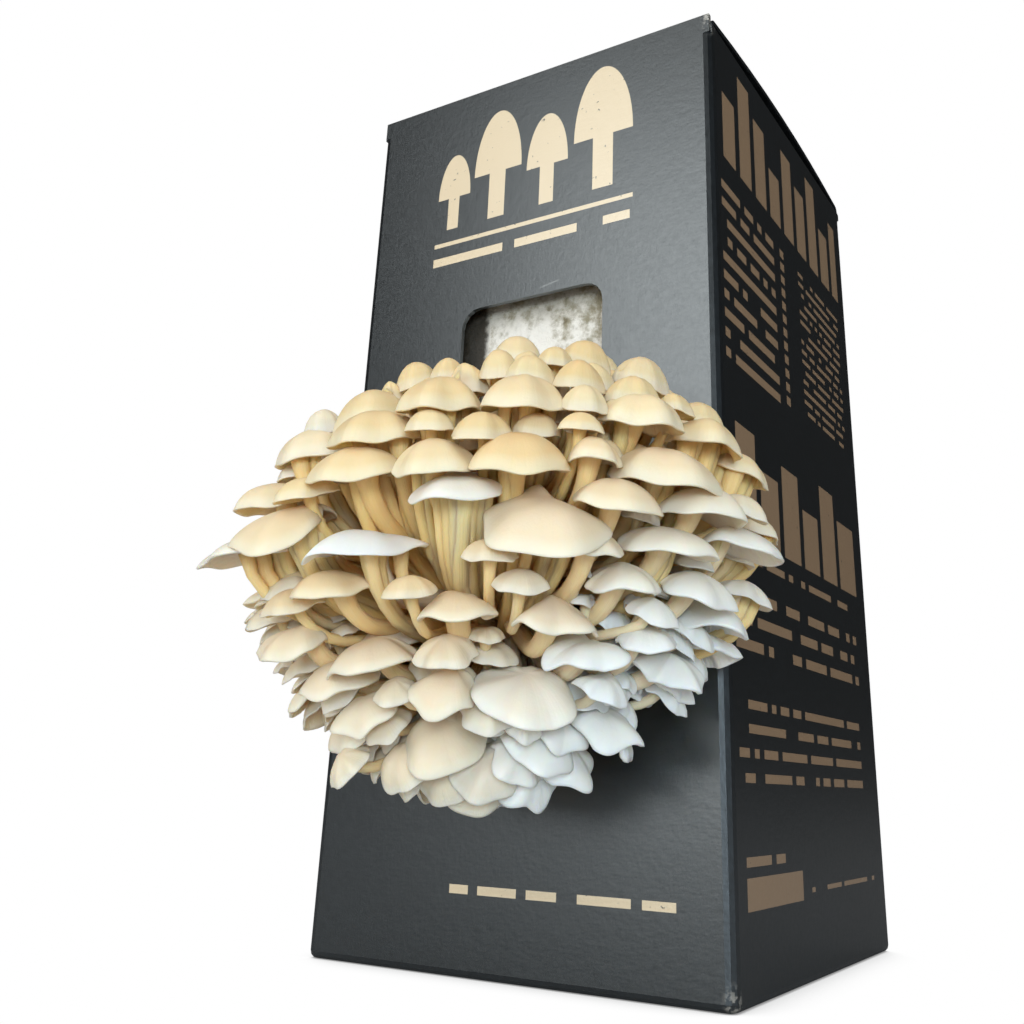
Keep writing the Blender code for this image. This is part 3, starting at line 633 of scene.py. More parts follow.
def grow_caps(mushrooms, mound, standing=()):
    """Lets each cap spread to its full width, except where it would meet a neighbour."""
    half = CARTON_WIDTH / 2
    wall_y = FRONT_Y - CAP_GAP
    wall = ([(-half, wall_y, 0), (half, wall_y, 0), (half, wall_y, CARTON_HEIGHT),
             (-half, wall_y, CARTON_HEIGHT)], [(0, 1, 2), (0, 2, 3)])
    stems = [stem_shape(m, CAP_GAP) for m in mushrooms]
    grown = {}
    order = sorted(range(len(mushrooms)), key=lambda n: -mushrooms[n].radius)
    for n in order:
        mushroom = mushrooms[n]
        others = [s for k, s in enumerate(stems) if k != n] + list(grown.values())
        others.extend(standing)
        obstacles = tree_of(others + [wall, mound])
        least = 1.4 * mushroom.stem_radius * STEM_SWELL
        for _ in range(GROWTH_STEPS):
            points, faces = cap_shape(mushroom, 0.0)
            hits = tree_of([(points, faces)]).overlap(obstacles)
            if not hits:
                break
            for face in {own for own, _ in hits}:
                pull_in(mushroom, points, faces[face], least)
        grown[n] = cap_shape(mushroom, CAP_GAP)


def pull_in(mushroom, points, face, least):
    """Shortens the cap in the directions of a face that meets a neighbour."""
    middle = np.mean([points[i] for i in face], axis=0) - mushroom.neck
    angle = math.atan2(np.dot(middle, mushroom.side), np.dot(middle, mushroom.out))
    place = angle / (2 * math.pi) * mushroom.sides
    for k in (math.floor(place), math.ceil(place)):
        k = k % mushroom.sides
        mushroom.outline[k] = max(least, mushroom.outline[k] * 0.95)


def mound_shape(bm):
    """Adds the mound, half a lumpy ball that is cut flat where it grows out of the block."""
    bmesh.ops.create_uvsphere(bm, u_segments=20, v_segments=14, radius=1.0)
    centre = mound_centre()
    radii = mound_radii()
    for vert in bm.verts:
        vert.co = Vector(centre + radii * np.array(vert.co))
    cut_y = BLOCK_FRONT_Y - SEAT
    everything = bm.verts[:] + bm.edges[:] + bm.faces[:]
    bmesh.ops.bisect_plane(bm, geom=everything, plane_co=(0, cut_y, 0), plane_no=(0, 1, 0),
                           clear_outer=True)
    rim = [e for e in bm.edges if e.is_boundary]
    bmesh.ops.contextual_create(bm, geom=rim)


# Fine mushroom meshes

class Surface:
    """Collects rings of points with their marks and turns them into one closed mesh."""

    def __init__(self):
        self.points = []
        self.turns = []
        self.marks = []
        self.faces = []
        self.slots = []

    def add_ring(self, places, turns, mark):
        """Adds a ring of points, kept in the solids' box, and returns its start and count."""
        start = len(self.points)
        self.points.extend(np.clip(places, *CAD_BOX))
        self.turns.extend(turns)
        self.marks.extend([mark] * len(places))
        return start, len(places)

    def band(self, low, high, slot):
        """Joins two rings of the same number of points."""
        (a, count), (b, _) = low, high
        for i in range(count):
            j = (i + 1) % count
            self.faces.append((a + i, a + j, b + j, b + i))
            self.slots.append(slot)

    def close(self, ring, slot, flip):
        """Closes a ring with one face."""
        start, count = ring
        face = tuple(range(start, start + count))
        self.faces.append(face[::-1] if flip else face)
        self.slots.append(slot)

    def to_object(self, name, materials):
        """Returns an object with the mesh, its marks and its materials."""
        mesh = bpy.data.meshes.new(name)
        mesh.from_pydata([tuple(p) for p in self.points], [], self.faces)
        for key, values in (("turn", self.turns), ("mark", self.marks)):
            attribute = mesh.attributes.new(key, 'FLOAT_VECTOR', 'POINT')
            attribute.data.foreach_set("vector", np.array(values, dtype=np.float32).ravel())
        mesh.polygons.foreach_set("material_index", self.slots)
        mesh.polygons.foreach_set("use_smooth", [True] * len(self.faces))
        for material in materials:
            mesh.materials.append(material)
        return add_object(name, mesh)


def spline(stations, heading, normal, count):
    """Returns points and directions on a smooth curve through the stations."""
    slopes = np.empty_like(stations)
    slopes[1:-1] = (stations[2:] - stations[:-2]) / 2
    slopes[0] = heading * np.linalg.norm(stations[1] - stations[0])
    slopes[-1] = normal * np.linalg.norm(stations[-1] - stations[-2])
    points = []
    headings = []
    for t in np.linspace(0, len(stations) - 1, count):
        i = min(int(t), len(stations) - 2)
        f = t - i
        a, b = stations[i], stations[i + 1]
        da, db = slopes[i], slopes[i + 1]
        points.append((2 * f ** 3 - 3 * f ** 2 + 1) * a + (f ** 3 - 2 * f ** 2 + f) * da
                      + (3 * f ** 2 - 2 * f ** 3) * b + (f ** 3 - f ** 2) * db)
        headings.append(unit((6 * f ** 2 - 6 * f) * a + (3 * f ** 2 - 4 * f + 1) * da
                             + (6 * f - 6 * f ** 2) * b + (3 * f ** 2 - 2 * f) * db))
    return np.array(points), np.array(headings)


def turns_of(count):
    """Returns the cosine and the sine of each of a ring's angles, and a zero."""
    angles = 2 * math.pi * np.arange(count) / count
    return np.stack([np.cos(angles), np.sin(angles), np.zeros(count)], axis=1)


def add_fine_stem(surface, m):
    """Adds a round stem with soft bulges along the mushroom's own stations."""
    sides, rings = YOUNG_STEM_MESH if m.young else STEM_MESH
    chance = random.Random(f"stem {m.neck[0]:.5f}")
    swells = [chance.uniform(0.90, 1.12) for _ in range(6)]
    heading = unit(m.stations[1] - m.stations[0])
    points, headings = spline(m.stations, heading, m.normal, rings)
    across = m.out
    around = turns_of(sides)
    loops = []
    for i in reversed(range(rings)):
        share = i / (rings - 1)
        bulge = np.interp(share * 5, range(6), swells)
        flare = 1 + 0.35 * max(0.0, (share - 0.86) / 0.14) ** 2 + 0.25 * (1 - share) ** 4
        radius = m.stem_radius * (1 + (STEM_SWELL - 1) * share) * bulge * flare
        across = unit(across - headings[i] * np.dot(across, headings[i]))
        third = np.cross(headings[i], across)
        oval = around[:, 1] * (1 + 0.06 * around[:, 1])
        places = points[i] + radius * (around[:, :1] * across + oval[:, None] * third)
        loops.append(surface.add_ring(places, around, (share, m.tone, m.pale)))
    top = points[-1] + m.normal * 0.22 * m.height
    hidden = top + m.stem_radius * 0.8 * (around[:, :1] * m.out + around[:, 1:2] * m.side)
    loops.insert(0, surface.add_ring(hidden, around, (1.0, m.tone, m.pale)))
    for high, low in zip(loops, loops[1:]):
        surface.band(low, high, STEM_SLOT)
    surface.close(loops[0], STEM_SLOT, False)
    surface.close(loops[-1], STEM_SLOT, True)


def soft_outline(m, count):
    """Returns the cap's outline at many more angles, with its corners rounded."""
    places = np.arange(count) / count * m.sides
    wrapped = np.append(m.outline, m.outline[0])
    fine = np.interp(places, np.arange(m.sides + 1), wrapped)
    width = int(count / m.sides * 0.75)
    kernel = np.hanning(2 * width + 3)[1:-1]
    kernel /= kernel.sum()
    padded = np.concatenate([fine[-width:], fine, fine[:width]])
    return np.convolve(padded, kernel, mode="valid") * 1.03


def top_drop(m, share):
    """Returns how far the cap's skin lies below its crown, as a share of the dome."""
    ball = (1 - math.sqrt(1 - (0.97 * share) ** 2)) / (1 - math.sqrt(1 - 0.97 ** 2))
    return m.roundness * ball + (1 - m.roundness) * share ** 2.3


def add_fine_cap(surface, m):
    """Adds a cap: its domed skin, its thin margin and the gills that run to the stem."""
    sides = YOUNG_CAP_SIDES if m.young else CAP_SIDES
    around = turns_of(sides)
    angles = np.arctan2(around[:, 1], around[:, 0])
    radius = soft_outline(m, sides)
    chance = random.Random(f"cap {m.neck[0]:.5f}")
    ripple = chance.uniform(0.0, 2 * math.pi)
    ripple_size = (0.012 + 0.014 * (not m.young) + 0.035 * m.fold) * m.radius
    radius = radius * (1 + m.uneven * (np.cos(3 * angles + ripple) + np.cos(7 * angles - ripple)))
    spokes = around[:, :1] * m.out + around[:, 1:2] * m.side
    crown_shift = 0.25 * (m.outline[0] - m.outline[m.sides // 2])
    lift = (0.6 * m.rim_wave + 0.10 * m.fold) * m.radius * np.cos(2 * angles + m.rim_turn)
    ripples = np.cos(5 * angles + ripple) + 0.6 * np.cos(8 * angles - 2 * ripple)
    lift = lift + ripple_size * ripples
    lift = lift + 0.22 * m.fold * m.radius * (np.abs(np.sin(2.5 * angles + ripple)) - 0.6)
    lift = lift - m.nod * m.radius * np.cos(angles)
    margin = CAP_MARGIN * (0.7 if m.young else 1.0 + 0.6 * m.fold)
    gill_way = np.where(np.arange(sides) % 2 == 0, 1.0, -1.0)
    crown = (1 - CAP_DROP) * min(m.dome, m.height)
    loops = []

    def add_ring(slot, share, drop_from_crown, shift_share, mark_share, gill=0.0):
        """Adds a ring at a share of the cap's width and a depth below its crown."""
        lumps = np.array([noise.noise(Vector((share * x + m.lump_place, share * y, 0.3)))
                          for x, y, _ in around])
        height = crown - drop_from_crown + lift * share ** 2 + gill * gill_way + m.lumps * lumps
        centre = m.neck + m.out * crown_shift * shift_share
        places = centre + spokes * (radius * share)[:, None] + m.normal * height[:, None]
        loops.append((surface.add_ring(places, around, (mark_share, m.tone, m.pale)), slot))

    for share in YOUNG_TOP_SHARES if m.young else TOP_SHARES:
        add_ring(SKIN_SLOT, share, m.height * top_drop(m, share), 1 - share ** 2, share)
    rim = m.height * top_drop(m, 1.0)
    for past_rim, below in ((0.25, 0.45), (-0.2, 0.95)):
        add_ring(SKIN_SLOT, 1.0 + past_rim * margin / m.radius, rim + below * margin, 0.0, 1.0)
    least = m.stem_radius * STEM_SWELL / m.radius
    for share in (*(YOUNG_UNDER_SHARES if m.young else UNDER_SHARES), least):
        flesh = margin * share + 0.42 * m.height * max(0.0, 1 - share) ** 1.4
        gill = 0.0
        if share > least:
            along = min(1.0, (share - least) / (GILL_END - least))
            gill = GILL_DEPTH * m.radius / GILL_FULL_RADIUS * math.sin(math.pi * along) ** 0.5
        drop = min(m.height * top_drop(m, share) + flesh + 0.5 * margin, rim + margin)
        add_ring(GILL_SLOT, share, drop, (1 - share ** 2) * 0.3, share, gill)
    for (low, _), (high, slot) in zip(loops, loops[1:]):
        surface.band(low, high, slot)
    surface.close(loops[0][0], SKIN_SLOT, True)
    surface.close(loops[-1][0], GILL_SLOT, False)


def finish_mushroom(m, latitude, azimuth):
    """Gives a mushroom what only its fine mesh needs: its cap's form, tone and paleness, which is
    partly painted cool light.
    """
    chance = random.Random(f"look {latitude} {azimuth}")
    m.roundness = max(0.45, min(1.0, 0.75 + latitude / 60)) if not m.young else 0.9
    m.tone = chance.uniform(0.0, 1.0)
    # Caps to the right and towards the foot are made whiter: partly their own whiteness, partly
    # painted cool light from the lower right.
    to_right = bounded((azimuth - 12) / 50)
    to_foot = bounded((22 - latitude) / 50)
    m.pale = bounded(to_right * to_foot * 1.2 + chance.uniform(-0.1, 0.1))
    lowness = bounded(-(latitude + 5) / 25)
    m.fold = lowness * (0.45 + 0.55 * to_right) * chance.uniform(0.6, 1.0)
    if azimuth < -15:
        m.pale = max(m.pale, chance.uniform(0.15, 0.45))
    crown = bounded((latitude - 28) / 15)
    m.nod = CAP_NOD * bounded((latitude + 30) / 20) * chance.uniform(0.5, 1.2)
    m.pale = max(m.pale, 0.42 * lowness)
    plain = (1.12 + 0.24 * crown, m.wave, m.wave_turn, m.pale, 1.0)
    height, m.rim_wave, m.rim_turn, m.pale, nod_share = OWN_FORMS.get((latitude, azimuth), plain)
    m.nod *= nod_share
    m.height = height * m.dome
    m.uneven = chance.uniform(0.02, 0.05) + 0.03 * m.fold
    m.lumps = (0.10 + 0.12 * m.fold) * m.radius
    m.lump_place = chance.uniform(0, 100)


def add_fine_mushroom(surface, m):
    """Adds a mushroom's stem and cap."""
    add_fine_stem(surface, m)
    add_fine_cap(surface, m)


def add_fine_mound(surface):
    """Adds the mound as half a lumpy ball, closed by a flat face towards the block."""
    centre = mound_centre()
    radii = mound_radii()
    sides, rings = MOUND_MESH
    around = turns_of(sides)
    flat_y = BLOCK_FRONT_Y - SEAT
    reach = math.acos((centre[1] - flat_y) / radii[1])
    loops = []
    for turn in np.linspace(0.03, reach, rings):
        ball = np.stack([math.sin(turn) * around[:, 0], np.full(sides, -math.cos(turn)),
                         math.sin(turn) * around[:, 1]], axis=1)
        places = centre + radii * ball
        dents = np.array([noise.noise(Vector(p * 230)) for p in places])
        places = places - ball * (MOUND_DENTS * (0.5 + 0.5 * dents))[:, None]
        places[:, 1] = np.minimum(places[:, 1], flat_y)
        loops.append(surface.add_ring(places, around, (0.0, 0.5, 0.2)))
    for low, high in zip(loops, loops[1:]):
        surface.band(low, high, STEM_SLOT)
    surface.close(loops[0], STEM_SLOT, True)
    surface.close(loops[-1], STEM_SLOT, False)


def in_valley(latitude, azimuth):
    """Tells whether a direction points into the open valley of the clump."""
    return (VALLEY_LATITUDE[0] < latitude < VALLEY_LATITUDE[1]
            and VALLEY_AZIMUTH[0] < azimuth < VALLEY_AZIMUTH[1])


def make_fillers(mushrooms, mound):
    """Returns small mushrooms that stand in the gaps between the others, below their tips."""
    standing = [cap_shape(m, CAP_GAP) for m in mushrooms]
    caps = tree_of(standing)
    chance = random.Random(FILLER_SEED)
    fillers = []
    for latitude in FILLER_LATITUDES:
        for azimuth in np.arange(-100, 110, FILLER_STEP):
            filler = Mushroom(latitude + chance.uniform(-3, 3), azimuth + chance.uniform(-4, 4),
                              chance.uniform(*FILLER_WIDTH), 0, chance.uniform(*FILLER_REACH))
            finish_mushroom(filler, latitude, azimuth)
            if not in_valley(latitude, azimuth) and not tree_of([stem_shape(filler)]).overlap(caps):
                fillers.append(filler)
    fixed = standing + [stem_shape(m) for m in mushrooms]
    full = [f.outline.copy() for f in fillers]
    grow_caps(fillers, mound, fixed)
    return [f for f, was in zip(fillers, full) if f.outline.mean() > FILLER_LEAST * was.mean()]


def make_petals(mushrooms):
    """Returns mushrooms crowded between the lower ones, their margins tucked behind each other."""
    standing = [cap_shape(m, 0.0) for m in mushrooms]
    caps = tree_of(standing)
    standing += [stem_shape(m) for m in mushrooms]
    crowd = tree_of(standing)
    chance = random.Random(PETAL_SEED)
    petals = []
    for n in range(PETAL_TRIES):
        latitude = chance.uniform(*PETAL_LATITUDE)
        azimuth = chance.uniform(*(PETAL_AZIMUTH if n % 3 else PETAL_RIGHT))
        if in_valley(latitude, azimuth):
            continue
        wide, narrow = PETAL_WIDTH
        width = wide + (narrow - wide) * n / PETAL_TRIES
        petal = Mushroom(latitude, azimuth, width, chance.uniform(-PETAL_TILT, PETAL_TILT),
                         chance.uniform(*PETAL_REACH))
        full = petal.outline
        petal.outline = full * PETAL_CORE
        core = cap_shape(petal, 0.0)
        petal.outline = full
        if tree_of([core]).overlap(crowd):
            continue
        for _ in range(PETAL_FEET):
            lower = direction(math.radians(azimuth * chance.uniform(0.5, 1.0)),
                              math.radians(latitude * chance.uniform(0.3, 1.0)))
            petal.foot, heading = foot_place(lower)
            petal.stations = petal.bend(heading)
            if not tree_of([stem_shape(petal)]).overlap(caps):
                finish_mushroom(petal, latitude, azimuth)
                petals.append(petal)
                standing.append(core)
                crowd = tree_of(standing)
                break
    return petals


def make_inner(mushrooms):
    """Returns mushrooms whose thin stems rise into the wide caps; only their stems are built."""
    caps = tree_of([cap_shape(m, CAP_GAP / 2) for m in mushrooms])
    chance = random.Random(INNER_SEED)
    inner = []
    for values, above in zip(MUSHROOMS, mushrooms):
        latitude, azimuth = values[:2]
        if above.radius * 2 < INNER_FROM or not INNER_LATITUDE[0] < latitude < INNER_LATITUDE[1]:
            continue
        for _ in range(INNER_VALLEY if in_valley(latitude, azimuth) else INNER_EACH):
            turn = chance.uniform(-INNER_TURN, INNER_TURN) % (2 * math.pi)
            share = chance.uniform(*INNER_SHARE)
            reach = share * above.outline[round(turn / (2 * math.pi) * above.sides) % above.sides]
            spoke = math.cos(turn) * above.out + math.sin(turn) * above.side
            m = Mushroom(latitude, azimuth, above.radius * 2000)
            m.young = True
            m.stem_radius = chance.uniform(*INNER_STEM)
            m.neck = above.neck + spoke * reach - above.normal * (above.drop() * share + CAP_GAP)
            lower = direction(math.radians(0.85 * azimuth + chance.uniform(-8, 8)),
                              math.radians(0.5 * latitude - FOOT_LOWER + chance.uniform(-8, 8)))
            m.foot, heading = foot_place(lower)
            m.stations = m.bend(heading)
            finish_mushroom(m, latitude, azimuth)
            m.tone = chance.uniform(0.0, 1.0)
            m.pale *= 0.2
            m.height = 0.0
            if not tree_of([stem_shape(m)]).overlap(caps):
                m.stations[-1] += above.normal * INNER_TOP * (1 - math.cos(turn))
                inner.append(m)
    return inner


def place_piece(piece, node=None):
    """Lets a piece ride on the body and stand for a node."""
    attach(piece, "root")
    if node:
        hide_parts(node)


def make_clump_pieces():
    """Builds the fine clump and lets each piece stand for its CAD node."""
    mushrooms = []
    for values in MUSHROOMS:
        mushroom = Mushroom(*values)
        finish_mushroom(mushroom, *values[:2])
        mushrooms.append(mushroom)
    part_stems(mushrooms)
    mound = triangles_of(mound_shape)
    grow_caps(mushrooms, mound)
    materials = [skin_material(), gill_material(), stem_material()]

    def place_mushrooms(name, crowd, node=None, surface=None, add=add_fine_mushroom):
        """Builds mushrooms as one piece, which may stand for a node."""
        surface = surface or Surface()
        for mushroom in crowd:
            add(surface, mushroom)
        place_piece(surface.to_object(name, materials), node)

    grown = [m for m in mushrooms if not m.young]
    for number, mushroom in enumerate(grown, 1):
        place_mushrooms(f"grown_mushroom_{number:02d}", [mushroom], f"mushroom_{number:02d}")
    base = Surface()
    add_fine_mound(base)
    place_mushrooms("clump_base", [m for m in mushrooms if m.young], "cluster_base", base)
    place_mushrooms("smallest_mushrooms", make_fillers(mushrooms, mound))
    place_mushrooms("crowded_petals", make_petals(mushrooms))
    place_mushrooms("inner_mushrooms", make_inner(mushrooms), add=add_fine_stem)


# Materials

def give(tree, socket, value):
    """Links a field or an output to a socket, or sets the socket to a plain value."""
    if isinstance(value, Field):
        value = value.socket
    if isinstance(value, bpy.types.NodeSocket):
        tree.links.new(value, socket)
    else:
        socket.default_value = value


def add_node(tree, kind, inputs, **settings):
    """Adds a shader node with its settings and its inputs, each by name or place."""
    node = tree.nodes.new("ShaderNode" + kind)
    for name, value in settings.items():
        setattr(node, name, value)
    for place, value in inputs.items():
        give(tree, node.inputs[place], value)
    return node


class Field:
    """A number that varies over a surface, with the shader's arithmetic as operators."""

    def __init__(self, tree, socket):
        self.tree = tree
        self.socket = socket

    def math(self, operation, *others, clamp=False):
        """Adds a Math node and returns its result."""
        node = add_node(self.tree, "Math", dict(enumerate((self, *others))),
                        operation=operation, use_clamp=clamp)
        return Field(self.tree, node.outputs[0])

    def __add__(self, other):
        return self.math('ADD', other)

    def __sub__(self, other):
        return self.math('SUBTRACT', other)

    def __mul__(self, other):
        return self.math('MULTIPLY', other)

    def __truediv__(self, other):
        return self.math('DIVIDE', other)

    def lower(self, other):
        """Returns the lesser of two fields."""
        return self.math('MINIMUM', other)

    def higher(self, other):
        """Returns the greater of two fields."""
        return self.math('MAXIMUM', other)

    def off(self, middle):
        """Returns how far the field is from a middle value, either way."""
        return (self - middle).math('ABSOLUTE')

    def rise(self, start, end):
        """Returns a smooth step from 0 at start to 1 at end."""
        node = add_node(self.tree, "MapRange", {"Value": self, "From Min": start, "From Max": end},
                        interpolation_type='SMOOTHSTEP')
        return Field(self.tree, node.outputs["Result"])


class Finish:
    """A Principled material under construction; its colour is painted in layers on a base."""

    def __init__(self, name, base, **values):
        self.material = bpy.data.materials.new(name)
        self.material.use_nodes = True
        self.tree = self.material.node_tree
        self.shader = self.tree.nodes["Principled BSDF"]
        self.colour = linear(base)
        for key, value in values.items():
            self.feed(key.replace("_", " "), value)

    def feed(self, name, value):
        """Links or sets one of the shader's sockets."""
        give(self.tree, self.shader.inputs[name], value)

    def place(self, sideways=1.0, deep=1.0, upward=1.0):
        """Returns the object's own coordinates, stretched along each axis."""
        source = add_node(self.tree, "TexCoord", {})
        scale = add_node(self.tree, "VectorMath",
                         {0: source.outputs["Object"], 1: (sideways, deep, upward)},
                         operation='MULTIPLY')
        return scale.outputs[0]

    def axes(self, vector):
        """Returns a vector's three parts as fields."""
        node = add_node(self.tree, "SeparateXYZ", {0: vector})
        return [Field(self.tree, out) for out in node.outputs]

    def attribute(self, name):
        """Returns a mesh attribute's vector."""
        return add_node(self.tree, "Attribute", {}, attribute_name=name).outputs["Vector"]

    def noise(self, vector, scale, detail=3.0, roughness=0.55):
        """Returns a noise field about 0 to 1."""
        node = add_node(self.tree, "TexNoise", {"Scale": scale, "Detail": detail,
                                                "Roughness": roughness, "Vector": vector})
        return Field(self.tree, node.outputs["Fac"])

    def cells(self, vector, scale):
        """Returns the distance to the nearest cell's middle."""
        node = add_node(self.tree, "TexVoronoi", {"Scale": scale, "Vector": vector})
        return Field(self.tree, node.outputs["Distance"])

    def paint(self, share, colour):
        """Lays a colour over what is painted so far, as thickly as the share says."""
        node = add_node(self.tree, "Mix", {"Factor": share}, data_type='RGBA')
        give(self.tree, node.inputs[6], self.colour)
        give(self.tree, node.inputs[7], linear(colour))
        self.colour = node.outputs[2]

    def finished(self, height, distance, strength):
        """Feeds the paint and a height field to the shader and returns the material."""
        node = add_node(self.tree, "Bump", {"Strength": strength, "Distance": distance,
                                            "Height": height})
        self.feed("Normal", node.outputs["Normal"])
        self.feed("Base Color", self.colour)
        return self.material


def linear(colour):
    """Turns an sRGB triple of 0 to 255 into linear values with full opacity."""
    values = [(c / 255 / 12.92) if c / 255 <= 0.04045 else ((c / 255 + 0.055) / 1.055) ** 2.4
              for c in colour]
    return (*values, 1.0)


def flesh_finish(name, base, roughness, subsurface):
    """Returns a finish with the soft, slightly see-through look of mushroom flesh."""
    return Finish(name, base, Roughness=roughness, Subsurface_Weight=subsurface,
                  Subsurface_Scale=0.0035, Specular_IOR_Level=0.35,
                  Subsurface_Radius=(1.0, 0.55, 0.28))


def skin_material():
    """Cap skin: cream with faint radial streaks, warmer crown, whiter margin, and a bluish white
    that is partly painted cool light.
    """
    finish = flesh_finish("cap_skin", SKIN_CREAM, 0.42, 0.35)
    share, tone, pale = finish.axes(finish.attribute("mark"))
    place = finish.place()
    blotch = finish.noise(place, 130.0)
    fine = finish.noise(place, 1400.0, 2.0)
    streak = finish.noise(finish.attribute("turn"), 9.0, 2.0)
    finish.paint((blotch * 0.6 + tone * 0.55 - 0.15).math('ADD', 0.0, clamp=True), SKIN_TAN)
    finish.paint(share.rise(0.75, 0.0) * 0.35, SKIN_CROWN)
    finish.paint(share.rise(0.82, 1.0) * 0.45, SKIN_MARGIN)
    # Bluish white: partly the cap's own whiteness, partly painted cool light.
    finish.paint(pale * 0.8, SKIN_WHITE_AND_COOL_LIGHT)
    finish.feed("Roughness", blotch * 0.25 + 0.3)
    return finish.finished(fine * 0.4 + streak * share * 0.8 + blotch, 0.00018, 0.5)


def gill_material():
    """Gills: warm tan with fine radial leaves."""
    finish = flesh_finish("cap_gills", GILL_CREAM, 0.55, 0.3)
    share, tone, pale = finish.axes(finish.attribute("mark"))
    streak = finish.noise(finish.attribute("turn"), 26.0, 1.0)
    finish.paint(streak * 0.7 + tone * 0.3, GILL_TAN)
    finish.paint(share.rise(0.55, 1.0) * 0.6, GILL_MARGIN)
    # White gills: partly their own whiteness, partly painted cool light.
    finish.paint(pale * 0.95, GILL_WHITE_AND_COOL_LIGHT)
    return finish.finished(streak, 0.00025, 0.7)


def stem_material():
    """Stem: light cream near the cap and tan to amber towards the foot, the amber partly painted
    warm bounce light, with long fibres.
    """
    finish = flesh_finish("stem", STEM_AMBER_AND_BOUNCE_LIGHT, 0.48, 0.5)
    share, tone, pale = finish.axes(finish.attribute("mark"))
    fibre = finish.noise(finish.attribute("turn"), 7.0, 2.0)
    blotch = finish.noise(finish.place(1, 1, 0.25), 420.0, 2.0)
    # Cream near the cap over the amber base, which is partly painted warm bounce light deep in the
    # clump.
    finish.paint(share.rise(0.0, 0.9), STEM_CREAM)
    finish.paint(fibre * 0.3, STEM_FIBRE)
    finish.paint(tone * 0.25, STEM_LIGHT)
    # White stems: partly their own whiteness, partly painted cool light.
    finish.paint(pale * 0.5, STEM_WHITE_AND_COOL_LIGHT)
    return finish.finished(fibre + blotch * 0.6, 0.00025, 0.6)


def spawn_material():
    """Spawn: bright matted mycelium with soft grey and olive blotches and dark grains, and painted
    shade along the window's top and left.
    """
    finish = Finish("spawn_white", SPAWN_WHITE, Roughness=0.9, Specular_IOR_Level=0.2)
    place = finish.place()
    wide = finish.noise(place, 75.0, 4.0, 0.6)
    small = finish.noise(place, 320.0, 4.0, 0.65)
    fuzz = finish.noise(place, 1800.0, 2.0)
    finish.paint((wide * 0.5 + small * 0.5).rise(0.45, 0.62), SPAWN_GREY)
    speck = finish.cells(place, 210.0).rise(0.24, 0.12) * small.rise(0.5, 0.66)
    finish.paint(speck * 0.7, SPAWN_GRAIN)
    across, _, upward = finish.axes(place)
    # Painted shadow of the panel along the window's top edge.
    high = upward + (small - 0.5) * 0.010
    finish.paint(high.rise(WINDOW_TOP - 0.009, WINDOW_TOP + 0.001) * 0.6, SPAWN_SHADE)
    # Painted shade, dark brown, at the left of the window.
    left = across + (small - 0.5) * 0.004
    finish.paint(left.rise(LEFT_SHADE_EDGE + 0.0012, LEFT_SHADE_EDGE - 0.0012) * 0.95, SPAWN_LEFT_SHADE)
    return finish.finished(small + fuzz * 0.5 + wide, 0.0009, 0.8)


def box_distance(x, z, left, right, low, high):
    """Returns how far a place lies outside an upright box on a face, in metres."""
    across = x.off((left + right) / 2) - (right - left) / 2
    return across.higher(z.off((low + high) / 2) - (high - low) / 2)


def joined(distances):
    """Returns the distance to the nearest of several shapes."""
    nearest = distances[0]
    for distance in distances[1:]:
        nearest = nearest.lower(distance)
    return nearest


def ink(distance):
    """Returns 1 inside a printed shape and 0 outside, with a crisp edge."""
    return distance.rise(PRINT_EDGE, -PRINT_EDGE)


def sign_distance(x, z, centre, width, height):
    """Returns the distance to a plain mushroom sign: half an oval on a short bar."""
    brim = SIGN_FOOT + SIGN_BRIM * height
    across = (x - centre) / (width / 2)
    up = (z - brim) / (height - SIGN_BRIM * height)
    oval = ((across * across + up * up).math('SQRT') - 1.0) * (width / 2)
    half = SIGN_STEM * width
    stem = box_distance(x, z, centre - half, centre + half, SIGN_FOOT, brim + 0.0004)
    return oval.higher((z - brim) * -1.0).lower(stem)


def dash_rows(tree, x, z, values, seed, shift=0.0):
    """Returns rows of plain dashes of uneven length inside a box, shifted along the face."""
    left, right, low, high, rows, cell, filled, weight = values
    left += shift
    right += shift
    pitch = (high - low) / rows
    row = ((z - low) / pitch).math('FLOOR')
    column = ((x - left) / cell).math('FLOOR')
    join = add_node(tree, "CombineXYZ", {0: row, 1: column, 2: seed})
    white = add_node(tree, "TexWhiteNoise", {"Vector": join.outputs[0]})
    shown = Field(tree, white.outputs["Value"]).math('LESS_THAN', filled)
    stripe = ((z - low) / pitch - row).off(0.5).math('LESS_THAN', weight / 2)
    return shown * stripe * ink(box_distance(x, z, left, right, low, high))


def front_print(tree, x, z):
    """Returns the generic print on the front panel: mushroom signs over plain rules."""
    signs = [sign_distance(x, z, *sign) for sign in FRONT_SIGNS]
    marks = ink(joined(signs + [box_distance(x, z, *FRONT_RULE)]))
    for values, seed in FRONT_ROWS:
        marks = marks.higher(dash_rows(tree, x, z, values, seed))
    return marks


def side_print(tree, y, z):
    """Returns the generic print on the right side: bands of plain blocks over rows of dashes."""
    blocks = []
    for (low, high), band in zip(SIDE_BANDS, SIDE_BLOCKS):
        for start, end, rise in band:
            blocks.append(box_distance(y, z, FRONT_Y + start / 1000, FRONT_Y + end / 1000, low,
                                       low + (high - low) * rise))
    marks = ink(joined(blocks))
    for values in SIDE_ROWS:
        marks = marks.higher(dash_rows(tree, y, z, values, values[4] + values[0], FRONT_Y))
    return marks


